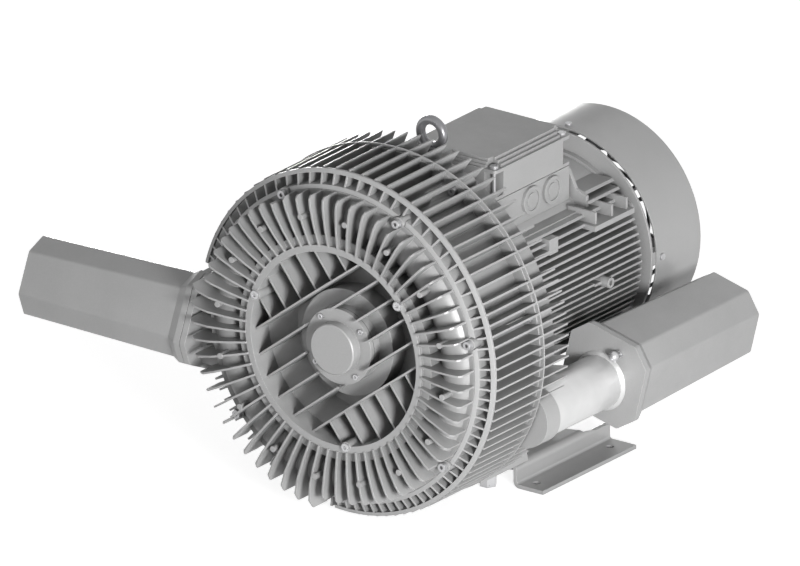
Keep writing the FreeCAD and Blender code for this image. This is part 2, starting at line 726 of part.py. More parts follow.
def rear_casing():
    outline = finned_outline(REAR_BAND_RADIUS, casing_fin_list(), CASING_TIP, FIN_THICKNESS,
                             CASING_JOINT)
    finned = plate_with_holes(outline, [circle_wire(REAR_BAND_RADIUS - 10, CASING_JOINT)],
                              REAR_FIN_TIP - CASING_JOINT)
    taper = turned([
        (REAR_BAND_RADIUS - 12, CASING_JOINT - 1),
        (CASING_TIP + 2, CASING_JOINT - 1),
        (CASING_TIP + 2, REAR_FIN_TIP + 2),
        (REAR_BAND_RADIUS, REAR_FACE),
        (REAR_BAND_RADIUS - 12, REAR_FACE),
    ])
    finned = finned.common(taper)
    finned = finned.cut(rod(PIPE_RADIUS + PIPE_FIN_GAP, PIPE_FIN_END, REAR_FIN_TIP + 5, PIPE_X, PIPE_Z))
    wall_back = CASING_JOINT + CHANNEL_RADIUS + REAR_WALL
    bearing_back = DRIVE_BEARING_AT + DRIVE_BEARING[2]
    seal_outer = DRIVE_BEARING[0] + 13
    plate = turned([
        (seal_outer, CASING_JOINT + 26),
        (CHANNEL_CIRCLE - CHANNEL_RADIUS - 8, CASING_JOINT + 26),
        (CHANNEL_CIRCLE - CHANNEL_RADIUS - 8, CASING_JOINT),
        (CHANNEL_CIRCLE - CHANNEL_RADIUS, CASING_JOINT),
        (CHANNEL_CIRCLE, CASING_JOINT + CHANNEL_RADIUS, CHANNEL_CIRCLE + CHANNEL_RADIUS, CASING_JOINT),
        (REAR_BAND_RADIUS - 5, CASING_JOINT),
        (REAR_BAND_RADIUS - 5, REAR_FACE),
        (REAR_BAND_RADIUS - 12, REAR_FACE),
        (REAR_BAND_RADIUS - 12, wall_back),
        (MOTOR_SEAT_RADIUS, wall_back),
        (MOTOR_SEAT_RADIUS, REAR_FACE),
        (FRAME_BORE - 8, REAR_FACE),
        (FRAME_BORE - 8, wall_back + 3),
        (DRIVE_BEARING[1] + 9, wall_back + 3),
        (DRIVE_BEARING[1] + 9, bearing_back),
        (DRIVE_BEARING[1], bearing_back),
        (DRIVE_BEARING[1], DRIVE_BEARING_AT),
        (seal_outer, DRIVE_BEARING_AT),
    ])
    additions = [finned]
    flange = casing_ring_plate(REAR_BAND_RADIUS - 8, CASING_RING_RADIUS, CASING_JOINT,
                               CASING_JOINT + CASING_RING_THICKNESS)
    additions.append(flange)
    for angle in bolt_angles():
        additions.append(rod_around(BOLT_BOSS, CASING_JOINT, REAR_FACE - 8, CASING_BOLT_CIRCLE, angle))
    additions.append(rod(PORT_BOSS, CASING_JOINT + 4, PORT_BOSS_END, PIPE_X, PIPE_Z))
    for side in (-1, 1):
        additions.append(foot_arm(side))
    additions.append(eye_lug())
    body = joined(plate, additions)
    holes = [
        rod(PIPE_RADIUS, PORT_BOSS_END - PIPE_SOCKET, REAR_FIN_TIP + 5, PIPE_X, PIPE_Z),
        rod(PIPE_RADIUS - PIPE_WALL, CASING_JOINT + 12, PORT_BOSS_END, PIPE_X, PIPE_Z),
        post(EYE_THREAD, EYE_SEAT - 24, EYE_SEAT + 1, 0, EYE_Y),
    ]
    for angle in bolt_angles():
        holes.append(rod_around(BOLT_THREAD, CASING_JOINT - 1, CASING_JOINT + 26, CASING_BOLT_CIRCLE, angle))
    for angle in turns(4, MOTOR_BOLT_ANGLE):
        holes.append(rod_around(MOTOR_BOLT_THREAD, REAR_FACE - 20, REAR_FACE + 1, MOTOR_BOLT_CIRCLE, angle))
    for side in (-1, 1):
        holes.append(post(LEVEL_FOOT_STUD, -AXIS_HEIGHT, foot_top() + ARM_PAD_THICKNESS - 2,
                          side * LEVEL_FOOT_X, LEVEL_FOOT_Y))
        holes.append(post(FOOT_BOLT_THREAD, -AXIS_HEIGHT, foot_top() + ARM_PAD_THICKNESS - 2,
                          side * arm_bolt_x(), arm_bolt_y()))
    return body.cut(holes)


def foot_top():
    """Height of the upper face of the foot bracket."""
    return FOOT_HEIGHT - AXIS_HEIGHT


def arm_bolt_x():
    return ARM_X - ARM_THICKNESS / 2 - 10


def arm_bolt_y():
    return (FOOT_FRONT + ARM_REACH) / 2


def foot_arm(side):
    """Upright arm of the rear casing, with the pad that stands on the foot bracket."""
    base = foot_top()
    lean = 10.0
    steps = [
        (REAR_FACE - 12, -150),
        (REAR_FACE + 35, -162),
        (ARM_REACH - lean, base + 34),
        (ARM_REACH, base),
        (REAR_FACE - 12, base),
    ]
    inner = ARM_X - ARM_THICKNESS / 2
    face = Part.Face(closed_wire(steps, lambda y, z: vector(side * inner, y, z)))
    upright = face.extrude(vector(side * ARM_THICKNESS, 0, 0))
    near = min(side * ARM_PAD_INNER, side * (inner + 2))
    far = max(side * ARM_PAD_INNER, side * (inner + 2))
    pad = block(near, far, LEVEL_FOOT_Y - 22, ARM_REACH, base, base + ARM_PAD_THICKNESS)
    return upright.fuse(pad)


def eye_lug():
    """Lug at the top that reaches back over the motor and carries the eye bolt."""
    half = LUG_WIDTH / 2
    steps = [
        (REAR_FACE - 10, REAR_BAND_RADIUS - 3),
        (REAR_FACE, REAR_BAND_RADIUS - 3),
        (EYE_Y - 16, EYE_SEAT),
        (LUG_REACH, EYE_SEAT),
        (LUG_REACH, EYE_SEAT - 30),
        (REAR_FACE - 10, EYE_SEAT - 46),
    ]
    face = Part.Face(closed_wire(steps, lambda y, z: vector(-half, y, z)))
    return face.extrude(vector(LUG_WIDTH, 0, 0))


def casing_bolts():
    front = CASING_JOINT - CASING_RING_THICKNESS
    places = [around(CASING_BOLT_CIRCLE, angle, front) for angle in bolt_angles()]
    return screws(places, BOLT_THREAD, BOLT_HEAD_RADIUS, BOLT_HEAD_HEIGHT, 28.0)


def eye_bolt():
    centre = EYE_SEAT + EYE_COLLAR_HEIGHT + EYE_RING - 1
    eye = Part.makeTorus(EYE_RING, EYE_BAR, vector(0, EYE_Y, centre), vector(0, 1, 0))
    collar = post(EYE_COLLAR, EYE_SEAT, EYE_SEAT + EYE_COLLAR_HEIGHT, 0, EYE_Y)
    neck = post(EYE_BAR + 2, EYE_SEAT, EYE_SEAT + EYE_COLLAR_HEIGHT + 3, 0, EYE_Y)
    shank = post(EYE_THREAD, EYE_SEAT - 22, EYE_SEAT + 1, 0, EYE_Y)
    return joined(eye, [collar, neck, shank])


# Rotor

def stage_two_front():
    return COVER_JOINT + RUNNING_GAP


def stage_one_back():
    return CASING_JOINT - RUNNING_GAP


def stage_two_hub():
    """Front and back of the hub of the front impeller."""
    front = DISH_FLOOR + COVER_WALL + 2
    return front, stage_two_front() + IMPELLER_RING_DEPTH + IMPELLER_BACK


def stage_one_hub():
    back = CASING_JOINT + 20
    return stage_one_back() - IMPELLER_RING_DEPTH - IMPELLER_BACK, back


def impeller(ring_front, hub, web_front, mirrored):
    """Vaned ring with a back plate, a web and a hub; the pockets open to the front, or back if mirrored."""
    slots = []
    depth = IMPELLER_RING_DEPTH
    outer = IMPELLER_RADIUS - 4
    inner = IMPELLER_RING_INNER + 5
    blade_angle = math.degrees(BLADE_THICKNESS / CHANNEL_CIRCLE)
    start = ring_front + (IMPELLER_BACK if mirrored else 0)
    for angle in turns(IMPELLER_BLADES):
        slots.append(ring_slot(inner, outer, angle, 360.0 / IMPELLER_BLADES - blade_angle, start))
    slots.append(circle_wire(IMPELLER_RING_INNER, start))
    vanes = plate_with_holes(circle_wire(IMPELLER_RADIUS, start), slots, depth)
    plate_front = ring_front if mirrored else ring_front + depth
    back_plate = ring(IMPELLER_RING_INNER, IMPELLER_RADIUS, plate_front, plate_front + IMPELLER_BACK)
    web = ring(IMPELLER_HUB_RADIUS - 4, IMPELLER_RING_INNER, web_front, web_front + IMPELLER_WEB)
    middle = ring(IMPELLER_SEAT_RADIUS, IMPELLER_HUB_RADIUS, hub[0], hub[1])
    body = vanes.multiFuse([back_plate, web, middle])
    return body.cut(key_block(hub)).removeSplitter()


def key_block(hub):
    """Space of the key in hub and shaft, in the middle of the hub."""
    middle = (hub[0] + hub[1]) / 2
    half = min(KEY_LENGTH, hub[1] - hub[0] - 2) / 2
    low = IMPELLER_SEAT_RADIUS - KEY_HEIGHT / 2
    return block(-KEY_WIDTH / 2, KEY_WIDTH / 2, middle - half, middle + half, low, low + KEY_HEIGHT)


def stage_two_impeller():
    hub = stage_two_hub()
    web_front = hub[1] - IMPELLER_WEB
    return impeller(stage_two_front(), hub, web_front, False)


def stage_one_impeller():
    hub = stage_one_hub()
    ring_front = stage_one_back() - IMPELLER_RING_DEPTH - IMPELLER_BACK
    return impeller(ring_front, hub, ring_front, True)


def impeller_keys():
    return group([key_block(stage_two_hub()), key_block(stage_one_hub())])


def impeller_spacer():
    return ring(IMPELLER_SEAT_RADIUS, IMPELLER_HUB_RADIUS - 8, stage_two_hub()[1], stage_one_hub()[0])


def interstage_seal():
    """Ring in the divider around the spacer, with its running gap."""
    middle = (COVER_JOINT + CASING_JOINT) / 2
    half = DIVIDER_THICKNESS / 2
    return ring(IMPELLER_HUB_RADIUS - 8 + RUNNING_GAP, SEAL_RING_OUTER, middle - half, middle + half)


def shaft_seal():
    """Lip seal between the rear casing and the shaft, in front of the drive bearing."""
    front = CASING_JOINT + 27
    return ring(DRIVE_BEARING[0] + 0.05, DRIVE_BEARING[0] + 13, front, front + 12)


def front_sleeve():
    """Sleeve between the front bearing and the hub of the front impeller."""
    return ring(FRONT_BEARING[0], IMPELLER_SEAT_RADIUS + 4, FRONT_BEARING_AT + FRONT_BEARING[2],
                stage_two_hub()[0])


def motor_shaft():
    shoulder = stage_one_hub()[1]
    drive_back = DRIVE_BEARING_AT + DRIVE_BEARING[2]
    rear_back = REAR_BEARING_AT + REAR_BEARING[2]
    shaft = turned([
        (0, SHAFT_FRONT),
        (FRONT_BEARING[0] - 1, SHAFT_FRONT),
        (FRONT_BEARING[0], SHAFT_FRONT + 1),
        (FRONT_BEARING[0], stage_two_hub()[0]),
        (IMPELLER_SEAT_RADIUS, stage_two_hub()[0]),
        (IMPELLER_SEAT_RADIUS, shoulder),
        (DRIVE_BEARING[0], shoulder),
        (DRIVE_BEARING[0], drive_back),
        (CORE_SEAT_RADIUS, drive_back),
        (CORE_SEAT_RADIUS, REAR_BEARING_AT - 30),
        (REAR_BEARING[0] + 4, REAR_BEARING_AT - 30),
        (REAR_BEARING[0] + 4, REAR_BEARING_AT),
        (REAR_BEARING[0], REAR_BEARING_AT),
        (REAR_BEARING[0], rear_back + 4),
        (FAN_SEAT_RADIUS, rear_back + 4),
        (FAN_SEAT_RADIUS, SHAFT_END - 1),
        (FAN_SEAT_RADIUS - 1, SHAFT_END),
        (0, SHAFT_END),
    ])
    return shaft.cut([key_block(stage_two_hub()), key_block(stage_one_hub())])


def ball_circle(bearing):
    return (bearing[0] + bearing[1]) / 2


def ball_radius(bearing):
    return (bearing[1] - bearing[0]) * 0.3


def bearing_ring(bearing, front, outer):
    """Inner or outer ring with its ball groove."""
    back = front + bearing[2]
    middle = (front + back) / 2
    circle = ball_circle(bearing)
    ball = ball_radius(bearing) + 0.05
    land_gap = (bearing[1] - bearing[0]) * 0.2
    sign = 1 if outer else -1
    seat = bearing[1] if outer else bearing[0]
    land = circle + sign * land_gap
    reach = math.sqrt(ball ** 2 - land_gap ** 2)
    return turned([
        (seat, front),
        (land, front),
        (land, middle - reach),
        (circle + sign * ball, middle, land, middle + reach),
        (land, back),
        (seat, back),
    ])


def bearing_balls(bearing, front):
    middle = front + bearing[2] / 2
    return group([Part.makeSphere(ball_radius(bearing), around(ball_circle(bearing), angle, middle))
                  for angle in turns(BALLS)])


def bearing_cage(bearing, front):
    circle = ball_circle(bearing)
    half = bearing[2] * 0.42
    middle = front + bearing[2] / 2
    cage = ring(circle - 2.5, circle + 2.5, middle - half, middle + half)
    pocket = ball_radius(bearing) + 0.15
    pockets = [radial_rod(pocket, circle - 6, circle + 6, angle, middle) for angle in turns(BALLS)]
    return cage.cut(pockets)


def wave_spring():
    """Spring washer between the hub cap and the outer ring of the front bearing."""
    back = FRONT_BEARING_AT
    return ring(FRONT_BEARING[1] - 7, FRONT_BEARING[1] - 1.2, back - SPRING_THICKNESS, back)


def rotor_core():
    core = ring(CORE_SEAT_RADIUS, ROTOR_RADIUS, CORE_START, CORE_START + CORE_LENGTH)
    end_rings = []
    for front in (CORE_START - 14, CORE_START + CORE_LENGTH):
        end_rings.append(ring(ROTOR_RADIUS - 22, ROTOR_RADIUS - 3, front, front + 14))
    return joined(core, end_rings)


# Motor

def stator_core():
    return ring(ROTOR_RADIUS + AIR_GAP, FRAME_BORE, CORE_START, CORE_START + CORE_LENGTH)


def stator_winding():
    """The two end windings."""
    inner = ROTOR_RADIUS + 7
    outer = FRAME_BORE - 9
    heads = []
    for core_end, away in ((CORE_START, -1), (CORE_START + CORE_LENGTH, 1)):
        far = core_end + away * WINDING_LENGTH
        heads.append(turned([
            (inner, far),
            ((inner + outer) / 2, far + away * 4, outer, far),
            (outer, core_end),
            (inner, core_end),
        ]))
    return group(heads)


def frame_fins():
    """Level fins on both sides, upright ones below; nothing under the terminal box."""
    side_offsets = [FRAME_FIN_PITCH * number for number in range(-FRAME_SIDE_FINS_BELOW, FRAME_SIDE_FINS_ABOVE + 1)]
    low_offsets = [FRAME_FIN_PITCH * 1.6 * number for number in range(-FRAME_BOTTOM_FINS + 1, FRAME_BOTTOM_FINS)]
    fins = [(0.0, offset) for offset in side_offsets]
    fins += [(180.0, -offset) for offset in reversed(side_offsets)]
    fins += [(270.0, offset) for offset in low_offsets]
    return fins


def motor_frame():
    outline = finned_outline(FRAME_ROOT, frame_fins(), FRAME_TIP, FRAME_FIN_THICKNESS, REAR_FACE)
    barrel = plate_with_holes(outline, [circle_wire(FRAME_BORE, REAR_FACE)], FRAME_END - REAR_FACE)
    additions = []
    for angle in turns(4, MOTOR_BOLT_ANGLE):
        lug = rod_around(12, REAR_FACE, REAR_FACE + 16, MOTOR_BOLT_CIRCLE, angle)
        foot = rod_around(12, REAR_FACE, REAR_FACE + 16, MOTOR_BOLT_CIRCLE - 12, angle)
        additions += [lug, foot]
    for angle in shield_screw_angles():
        additions.append(rod_around(11, FRAME_END - 40, FRAME_END, SHIELD_SCREW_CIRCLE, angle))
    for side in (-1, 1):
        near = side * LEG_X - LEG_WIDTH / 2
        additions.append(block(near, near + LEG_WIDTH, LEG_FROM, LEG_FROM + LEG_LENGTH, foot_top(),
                               -FRAME_BORE * 0.9 - 8))
    saddle = block(-SADDLE_HALF_WIDTH, SADDLE_HALF_WIDTH, BOX_FRONT + 6, BOX_FRONT + BOX_LENGTH - 6,
                   BOX_BOTTOM - 12, FRAME_ROOT + 4)
    additions.append(saddle)
    additions += frame_pads()
    box_back = BOX_FRONT + BOX_LENGTH
    beside_box = block(-FRAME_TIP, FRAME_TIP, BOX_FRONT, box_back, BOX_BOTTOM + 6, BOX_SPLIT)
    barrel = barrel.cut(beside_box.cut(rod(FRAME_ROOT, BOX_FRONT - 1, box_back + 1)))
    body = barrel.multiFuse(additions)
    holes = [rod(FRAME_BORE, REAR_FACE - 1, FRAME_END + 1)]
    for angle in turns(4, MOTOR_BOLT_ANGLE):
        holes.append(rod_around(MOTOR_BOLT_THREAD + HOLE_CLEARANCE, REAR_FACE - 1, REAR_FACE + 17,
                                MOTOR_BOLT_CIRCLE, angle))
        holes.append(rod_around(9.5, REAR_FACE + 16, REAR_FACE + 60, MOTOR_BOLT_CIRCLE, angle))
    for angle in shield_screw_angles():
        holes.append(rod_around(BOLT_THREAD, FRAME_END - 22, FRAME_END + 1, SHIELD_SCREW_CIRCLE, angle))
    for side in (-1, 1):
        holes.append(post(FOOT_BOLT_THREAD, foot_top() - 1, foot_top() + 22, side * LEG_X,
                          LEG_FROM + LEG_LENGTH / 2))
    holes.append(block(-40, 40, BOX_FRONT + 45, BOX_FRONT + BOX_LENGTH - 45, FRAME_BORE - 20, FRAME_ROOT + 5))
    return body.cut(holes).removeSplitter()


def side_block(side, inner, outer, front, back, bottom, top):
    """Block on the right (1) or left (-1) side between two distances from the middle."""
    return block(min(side * inner, side * outer), max(side * inner, side * outer), front, back, bottom, top)


def frame_pads():
    """On both sides: a drilled round boss with its web, lifting pads, and level rails for other feet."""
    pads = []
    for side in (-1, 1):
        boss = Part.makeCylinder(SIDE_BOSS_RADIUS, 40, vector(side * (FRAME_ROOT - 4), SIDE_BOSS_Y, 0),
                                 vector(side, 0, 0))
        hole = Part.makeCylinder(SIDE_BOSS_RADIUS / 2, 20, vector(side * (FRAME_TIP - 4), SIDE_BOSS_Y, 0),
                                 vector(side, 0, 0))
        pads.append(boss.cut(hole))
        pads.append(side_block(side, FRAME_ROOT - 6, FRAME_TIP + 3, SIDE_BOSS_Y - 22, SIDE_BOSS_Y, -2, 2))
        pads.append(side_block(side, FRAME_ROOT - 30, FRAME_TIP - 18, 345, 366, 68, 92))
        pads.append(side_block(side, FRAME_ROOT - 40, RAIL_REACH, RAIL_FRONT, RAIL_FRONT + RAIL_LENGTH,
                               RAIL_HEIGHT_AT, RAIL_HEIGHT_AT + RAIL_THICKNESS))
        for y in (RAIL_FRONT + 8, RAIL_FRONT + RAIL_LENGTH / 2, RAIL_FRONT + RAIL_LENGTH - 12):
            pads.append(side_block(side, FRAME_ROOT - 40, RAIL_REACH - 6, y, y + 4, RAIL_HEIGHT_AT,
                                   RAIL_HEIGHT_AT + 26))
        pads.append(side_block(side, FRAME_ROOT - 40, RAIL_REACH - 10, REAR_FACE + 30, RAIL_FRONT + RAIL_LENGTH,
                               -RAIL_HEIGHT_AT - RAIL_THICKNESS - 6, -RAIL_HEIGHT_AT - 6))
        pads.append(side_block(side, BOX_HALF_WIDTH, LEDGE_REACH, BOX_FRONT + 4, BOX_FRONT + BOX_LENGTH,
                               BOX_BOTTOM, BOX_BOTTOM + 6))
        pads.append(gusset(side))
    return pads


def gusset(side):
    """Upright web at the back end of the terminal box."""
    steps = [
        (side * (BOX_HALF_WIDTH - 6), BOX_BOTTOM),
        (side * LEDGE_REACH, BOX_BOTTOM),
        (side * LEDGE_REACH, BOX_BOTTOM + 22),
        (side * (BOX_HALF_WIDTH + 8), BOX_BOTTOM + 30),
        (side * (BOX_HALF_WIDTH - 6), BOX_SPLIT - 8),
    ]
    back = BOX_FRONT + BOX_LENGTH
    face = Part.Face(closed_wire(steps, lambda x, z: vector(x, back, z)))
    return face.extrude(vector(0, 6, 0))


def shield_screw_angles():
    return [SHIELD_SCREW_ANGLE, 180 - SHIELD_SCREW_ANGLE, 180 + SHIELD_SCREW_ANGLE, -SHIELD_SCREW_ANGLE]


def rear_end_shield():
    back = FRAME_END + SHIELD_THICKNESS
    bearing_back = REAR_BEARING_AT + REAR_BEARING[2]
    disc = turned([
        (REAR_BEARING[1], REAR_BEARING_AT),
        (REAR_BEARING[1] + 12, REAR_BEARING_AT),
        (REAR_BEARING[1] + 12, FRAME_END),
        (FRAME_ROOT + 4, FRAME_END),
        (FRAME_ROOT + 4, back - SHIELD_FLANGE),
        (COWL_RADIUS - COWL_WALL, back - SHIELD_FLANGE),
        (COWL_RADIUS - COWL_WALL, back),
        (REAR_BEARING[1] + 12, back),
        (REAR_BEARING[1] + 12, bearing_back + 5),
        (REAR_BEARING[0] + 4, bearing_back + 5),
        (REAR_BEARING[0] + 4, bearing_back),
        (REAR_BEARING[1], bearing_back),
    ])
    additions = []
    for angle in shield_screw_angles():
        additions.append(rod_around(11, FRAME_END, back, SHIELD_SCREW_CIRCLE, angle))
    for angle in turns(4):
        additions.append(turned([
            (FRAME_ROOT, back - 1),
            (COWL_RADIUS - COWL_WALL, back - 1),
            (COWL_RADIUS - COWL_WALL, COWL_SCREW_AT + 10),
            (COWL_RADIUS - 14, COWL_SCREW_AT + 10),
            (FRAME_ROOT, back),
        ], angle - 3.5, 7.0))
    body = joined(disc, additions)
    holes = []
    for angle in shield_screw_angles():
        holes.append(rod_around(BOLT_THREAD + HOLE_CLEARANCE, FRAME_END - 1, back + 1, SHIELD_SCREW_CIRCLE, angle))
    for angle in turns(4):
        holes.append(radial_rod(2.5, COWL_RADIUS - 14, COWL_RADIUS + 2, angle, COWL_SCREW_AT))
    return body.cut(holes)


def radial_rod(radius, inner, outer, angle, y):
    place = around(inner, angle, y)
    return Part.makeCylinder(radius, outer - inner, place, around(1, angle))


def shield_screws():
    """Screws from behind through the end shield into the frame."""
    made = []
    back = FRAME_END + SHIELD_THICKNESS
    for angle in shield_screw_angles():
        head = rod_around(BOLT_HEAD_RADIUS, back, back + BOLT_HEAD_HEIGHT, SHIELD_SCREW_CIRCLE, angle)
        shank = rod_around(BOLT_THREAD, back - 34, back + 1, SHIELD_SCREW_CIRCLE, angle)
        made.append(head.fuse(shank).removeSplitter())
    return group(made)


def motor_bolts():
    """Bolts through the front lugs of the frame into the rear casing."""
    made = []
    under_head = REAR_FACE + 16
    for angle in turns(4, MOTOR_BOLT_ANGLE):
        head = rod_around(8, under_head, under_head + 9, MOTOR_BOLT_CIRCLE, angle)
        shank = rod_around(MOTOR_BOLT_THREAD, REAR_FACE - 18, under_head + 1, MOTOR_BOLT_CIRCLE, angle)
        made.append(head.fuse(shank).removeSplitter())
    return group(made)


def cooling_fan():
    front = FAN_AT
    hub = ring(FAN_SEAT_RADIUS, FAN_SEAT_RADIUS + 13, front, front + 40)
    disc = ring(FAN_SEAT_RADIUS + 10, FAN_RADIUS - 20, front, front + 4)
    blades = []
    for angle in turns(FAN_BLADES):
        blade = block(FAN_SEAT_RADIUS + 11, FAN_RADIUS, front + 2, front + 40, -2, 2)
        blade.rotate(ORIGIN, AXIS, angle)
        blades.append(blade)
    return joined(hub, [disc] + blades)


def fan_retaining_ring():
    return ring(FAN_SEAT_RADIUS, FAN_SEAT_RADIUS + 5, FAN_AT + 40, FAN_AT + 42)


def fan_cowl():
    grille_radius = COWL_RADIUS - COWL_WALL - COWL_EDGE
    shell = turned([
        (COWL_RADIUS - COWL_WALL, COWL_FRONT),
        (COWL_RADIUS, COWL_FRONT),
        (COWL_RADIUS, COWL_END - COWL_EDGE),
        (COWL_RADIUS - COWL_EDGE * 0.293, COWL_END - COWL_EDGE * 0.293, COWL_RADIUS - COWL_EDGE, COWL_END),
        (grille_radius, COWL_END),
        (grille_radius, COWL_END - COWL_WALL),
        (COWL_RADIUS - COWL_EDGE, COWL_END - COWL_WALL),
        (COWL_RADIUS - COWL_WALL - (COWL_EDGE - COWL_WALL) * 0.293,
         COWL_END - COWL_WALL - (COWL_EDGE - COWL_WALL) * 0.293,
         COWL_RADIUS - COWL_WALL, COWL_END - COWL_EDGE),
    ])
    slots = []
    spoke = 6.0
    for number in range(9):
        inner = 34 + 13 * number
        for angle in turns(6, 15.0 * (number % 2)):
            width = 60.0 - math.degrees(spoke / inner)
            slots.append(ring_slot(inner, inner + 8, angle, width, COWL_END - COWL_WALL))
    grille = plate_with_holes(circle_wire(grille_radius, COWL_END - COWL_WALL), slots, COWL_WALL)
    cowl = shell.fuse(grille)
    holes = [radial_rod(2.5 + HOLE_CLEARANCE, COWL_RADIUS - 6, COWL_RADIUS + 2, angle, COWL_SCREW_AT)
             for angle in turns(4)]
    return cowl.cut(holes)


def cowl_screws():
    made = []
    for angle in turns(4):
        head = radial_rod(5, COWL_RADIUS, COWL_RADIUS + 3, angle, COWL_SCREW_AT)
        shank = radial_rod(2.5, COWL_RADIUS - 13, COWL_RADIUS + 1, angle, COWL_SCREW_AT)
        made.append(head.fuse(shank).removeSplitter())
    return group(made)


# Terminal box

def box_outline(half_width, front, back, z, radius=6.0):
    corners = [(-half_width, front), (half_width, front), (half_width, back), (-half_width, back)]
    return rounded_outline(corners, radius, lambda x, y: vector(x, y, z))


def lid_screw_places():
    inset = LID_SCREW_INSET
    return [(side * (BOX_HALF_WIDTH - inset), y)
            for side in (-1, 1) for y in (BOX_FRONT + inset, BOX_FRONT + BOX_LENGTH - inset)]


def terminal_box_base():
    back = BOX_FRONT + BOX_LENGTH
    outer = Part.Face(box_outline(BOX_HALF_WIDTH, BOX_FRONT, back, BOX_BOTTOM)).extrude(
        vector(0, 0, BOX_SPLIT - BOX_BOTTOM))
    floor = FRAME_ROOT + 4
    inside = Part.Face(box_outline(BOX_HALF_WIDTH - BOX_WALL, BOX_FRONT + BOX_WALL, back - BOX_WALL,
                                   floor + BOX_WALL)).extrude(vector(0, 0, 100))
    body = outer.cut(inside)
    posts = [corner_block(x, y, LID_NOTCH, floor, BOX_SPLIT) for x, y in lid_screw_places()]
    body = body.multiFuse([shape.common(outer) for shape in posts])
    holes = [rod(FRAME_ROOT + 0.2, BOX_FRONT - 5, back + 5)]
    for y in PLUG_PLACES:
        holes.append(Part.makeCylinder(PLUG_RADIUS - 5, 2 * BOX_WALL + 2,
                                       vector(BOX_HALF_WIDTH - 2 * BOX_WALL, y, PLUG_HEIGHT_AT), vector(1, 0, 0)))
    holes += [post(2.5, BOX_SPLIT - 16, BOX_SPLIT + 1, x, y) for x, y in lid_screw_places()]
    holes.append(block(-SADDLE_HALF_WIDTH, SADDLE_HALF_WIDTH, BOX_FRONT + 6, back - 6, BOX_BOTTOM - 13, floor))
    holes.append(block(-38, 38, BOX_FRONT + 47, back - 47, floor - 1, floor + BOX_WALL + 1))
    return body.cut(holes)


def lid_gasket():
    back = BOX_FRONT + BOX_LENGTH
    inset = 2.0
    outer = box_outline(BOX_HALF_WIDTH - inset, BOX_FRONT + inset, back - inset, BOX_SPLIT)
    inner = box_outline(BOX_HALF_WIDTH - BOX_WALL, BOX_FRONT + BOX_WALL, back - BOX_WALL, BOX_SPLIT, 3.0)
    face = Part.makeFace([outer, inner], "Part::FaceMakerBullseye")
    return face.extrude(vector(0, 0, GASKET))


def terminal_box_lid():
    back = BOX_FRONT + BOX_LENGTH
    bottom = BOX_SPLIT + GASKET
    skirt = Part.Face(box_outline(BOX_HALF_WIDTH, BOX_FRONT, back, bottom)).extrude(
        vector(0, 0, LID_SHOULDER - bottom))
    steps = [skirt]
    count = 3
    rise = (LID_ROOF - LID_SHOULDER) / count
    run = (BOX_HALF_WIDTH - LID_ROOF_HALF_WIDTH) / (count + 1)
    for number in range(count):
        inset = run * (number + 1)
        low = LID_SHOULDER + rise * number
        outline = box_outline(BOX_HALF_WIDTH - inset, BOX_FRONT + inset * 0.6, back - inset * 0.6, low)
        steps.append(Part.Face(outline).extrude(vector(0, 0, rise)))
    body = joined(steps[0], steps[1:])
    inside = Part.Face(box_outline(BOX_HALF_WIDTH - BOX_WALL, BOX_FRONT + BOX_WALL, back - BOX_WALL,
                                   bottom - 1)).extrude(vector(0, 0, LID_SHOULDER - BOX_WALL - bottom + 1))
    corners = [corner_block(x, y, LID_NOTCH + BOX_WALL, bottom - 2, LID_SHOULDER) for x, y in lid_screw_places()]
    body = body.cut(inside.cut(corners))
    holes = []
    for x, y in lid_screw_places():
        holes.append(post(2.5 + HOLE_CLEARANCE, bottom - 1, LID_SHOULDER + 1, x, y))
        holes.append(corner_block(x, y, LID_NOTCH, bottom + LID_EAR, LID_SHOULDER - LID_EAR))
        holes.append(corner_block(x, y, LID_NOTCH, LID_SHOULDER, LID_ROOF + 1))
    return body.cut(holes)


def corner_block(x, y, size, bottom, top):
    """Block of this size in the corner of the box nearest to a lid screw, reaching outside it."""
    middle = BOX_FRONT + BOX_LENGTH / 2
    side = math.copysign(1, x)
    end = math.copysign(1, y - middle)
    xs = sorted((side * (BOX_HALF_WIDTH - size), side * (BOX_HALF_WIDTH + 1)))
    ys = sorted((middle + end * (BOX_LENGTH / 2 - size), middle + end * (BOX_LENGTH / 2 + 1)))
    return block(xs[0], xs[1], ys[0], ys[1], bottom, top)


def lid_screws():
    made = []
    for x, y in lid_screw_places():
        head = post(6.5, LID_SHOULDER, LID_SHOULDER + 4, x, y)
        shank = post(2.5, BOX_SPLIT - 14, LID_SHOULDER + 1, x, y)
        made.append(head.fuse(shank).removeSplitter())
    return group(made)


def blanking_plugs():
    made = []
    for y in PLUG_PLACES:
        def along(radius, start, length):
            return Part.makeCylinder(radius, length, vector(start, y, PLUG_HEIGHT_AT), vector(1, 0, 0))
        head = along(PLUG_RADIUS, BOX_HALF_WIDTH, 5)
        shank = along(PLUG_RADIUS - 5, BOX_HALF_WIDTH - BOX_WALL - 3, BOX_WALL + 4)
        recess = along(PLUG_RADIUS - 5, BOX_HALF_WIDTH + 3, 3)
        button = along(PLUG_RADIUS - 10, BOX_HALF_WIDTH + 1, 3.5)
        made.append(head.fuse(shank).cut(recess).fuse(button).removeSplitter())
    return group(made)


def terminal_board():
    floor = FRAME_ROOT + 4 + BOX_WALL
    middle = BOX_FRONT + 30
    return block(-36, 36, middle - 16, middle + 14, floor, floor + 9)


def terminal_studs():
    floor = FRAME_ROOT + 4 + BOX_WALL + 9
    middle = BOX_FRONT + 29
    return group([post(3, floor, floor + 14, x, middle + y) for x in (-22, 0, 22) for y in (-8, 8)])


def nameplate():
    """Bare plate on the left side of the terminal box."""
    middle = BOX_FRONT + BOX_LENGTH / 2
    return block(-BOX_HALF_WIDTH - 0.8, -BOX_HALF_WIDTH, middle - 45, middle + 45, BOX_SPLIT - 46, BOX_SPLIT - 8)


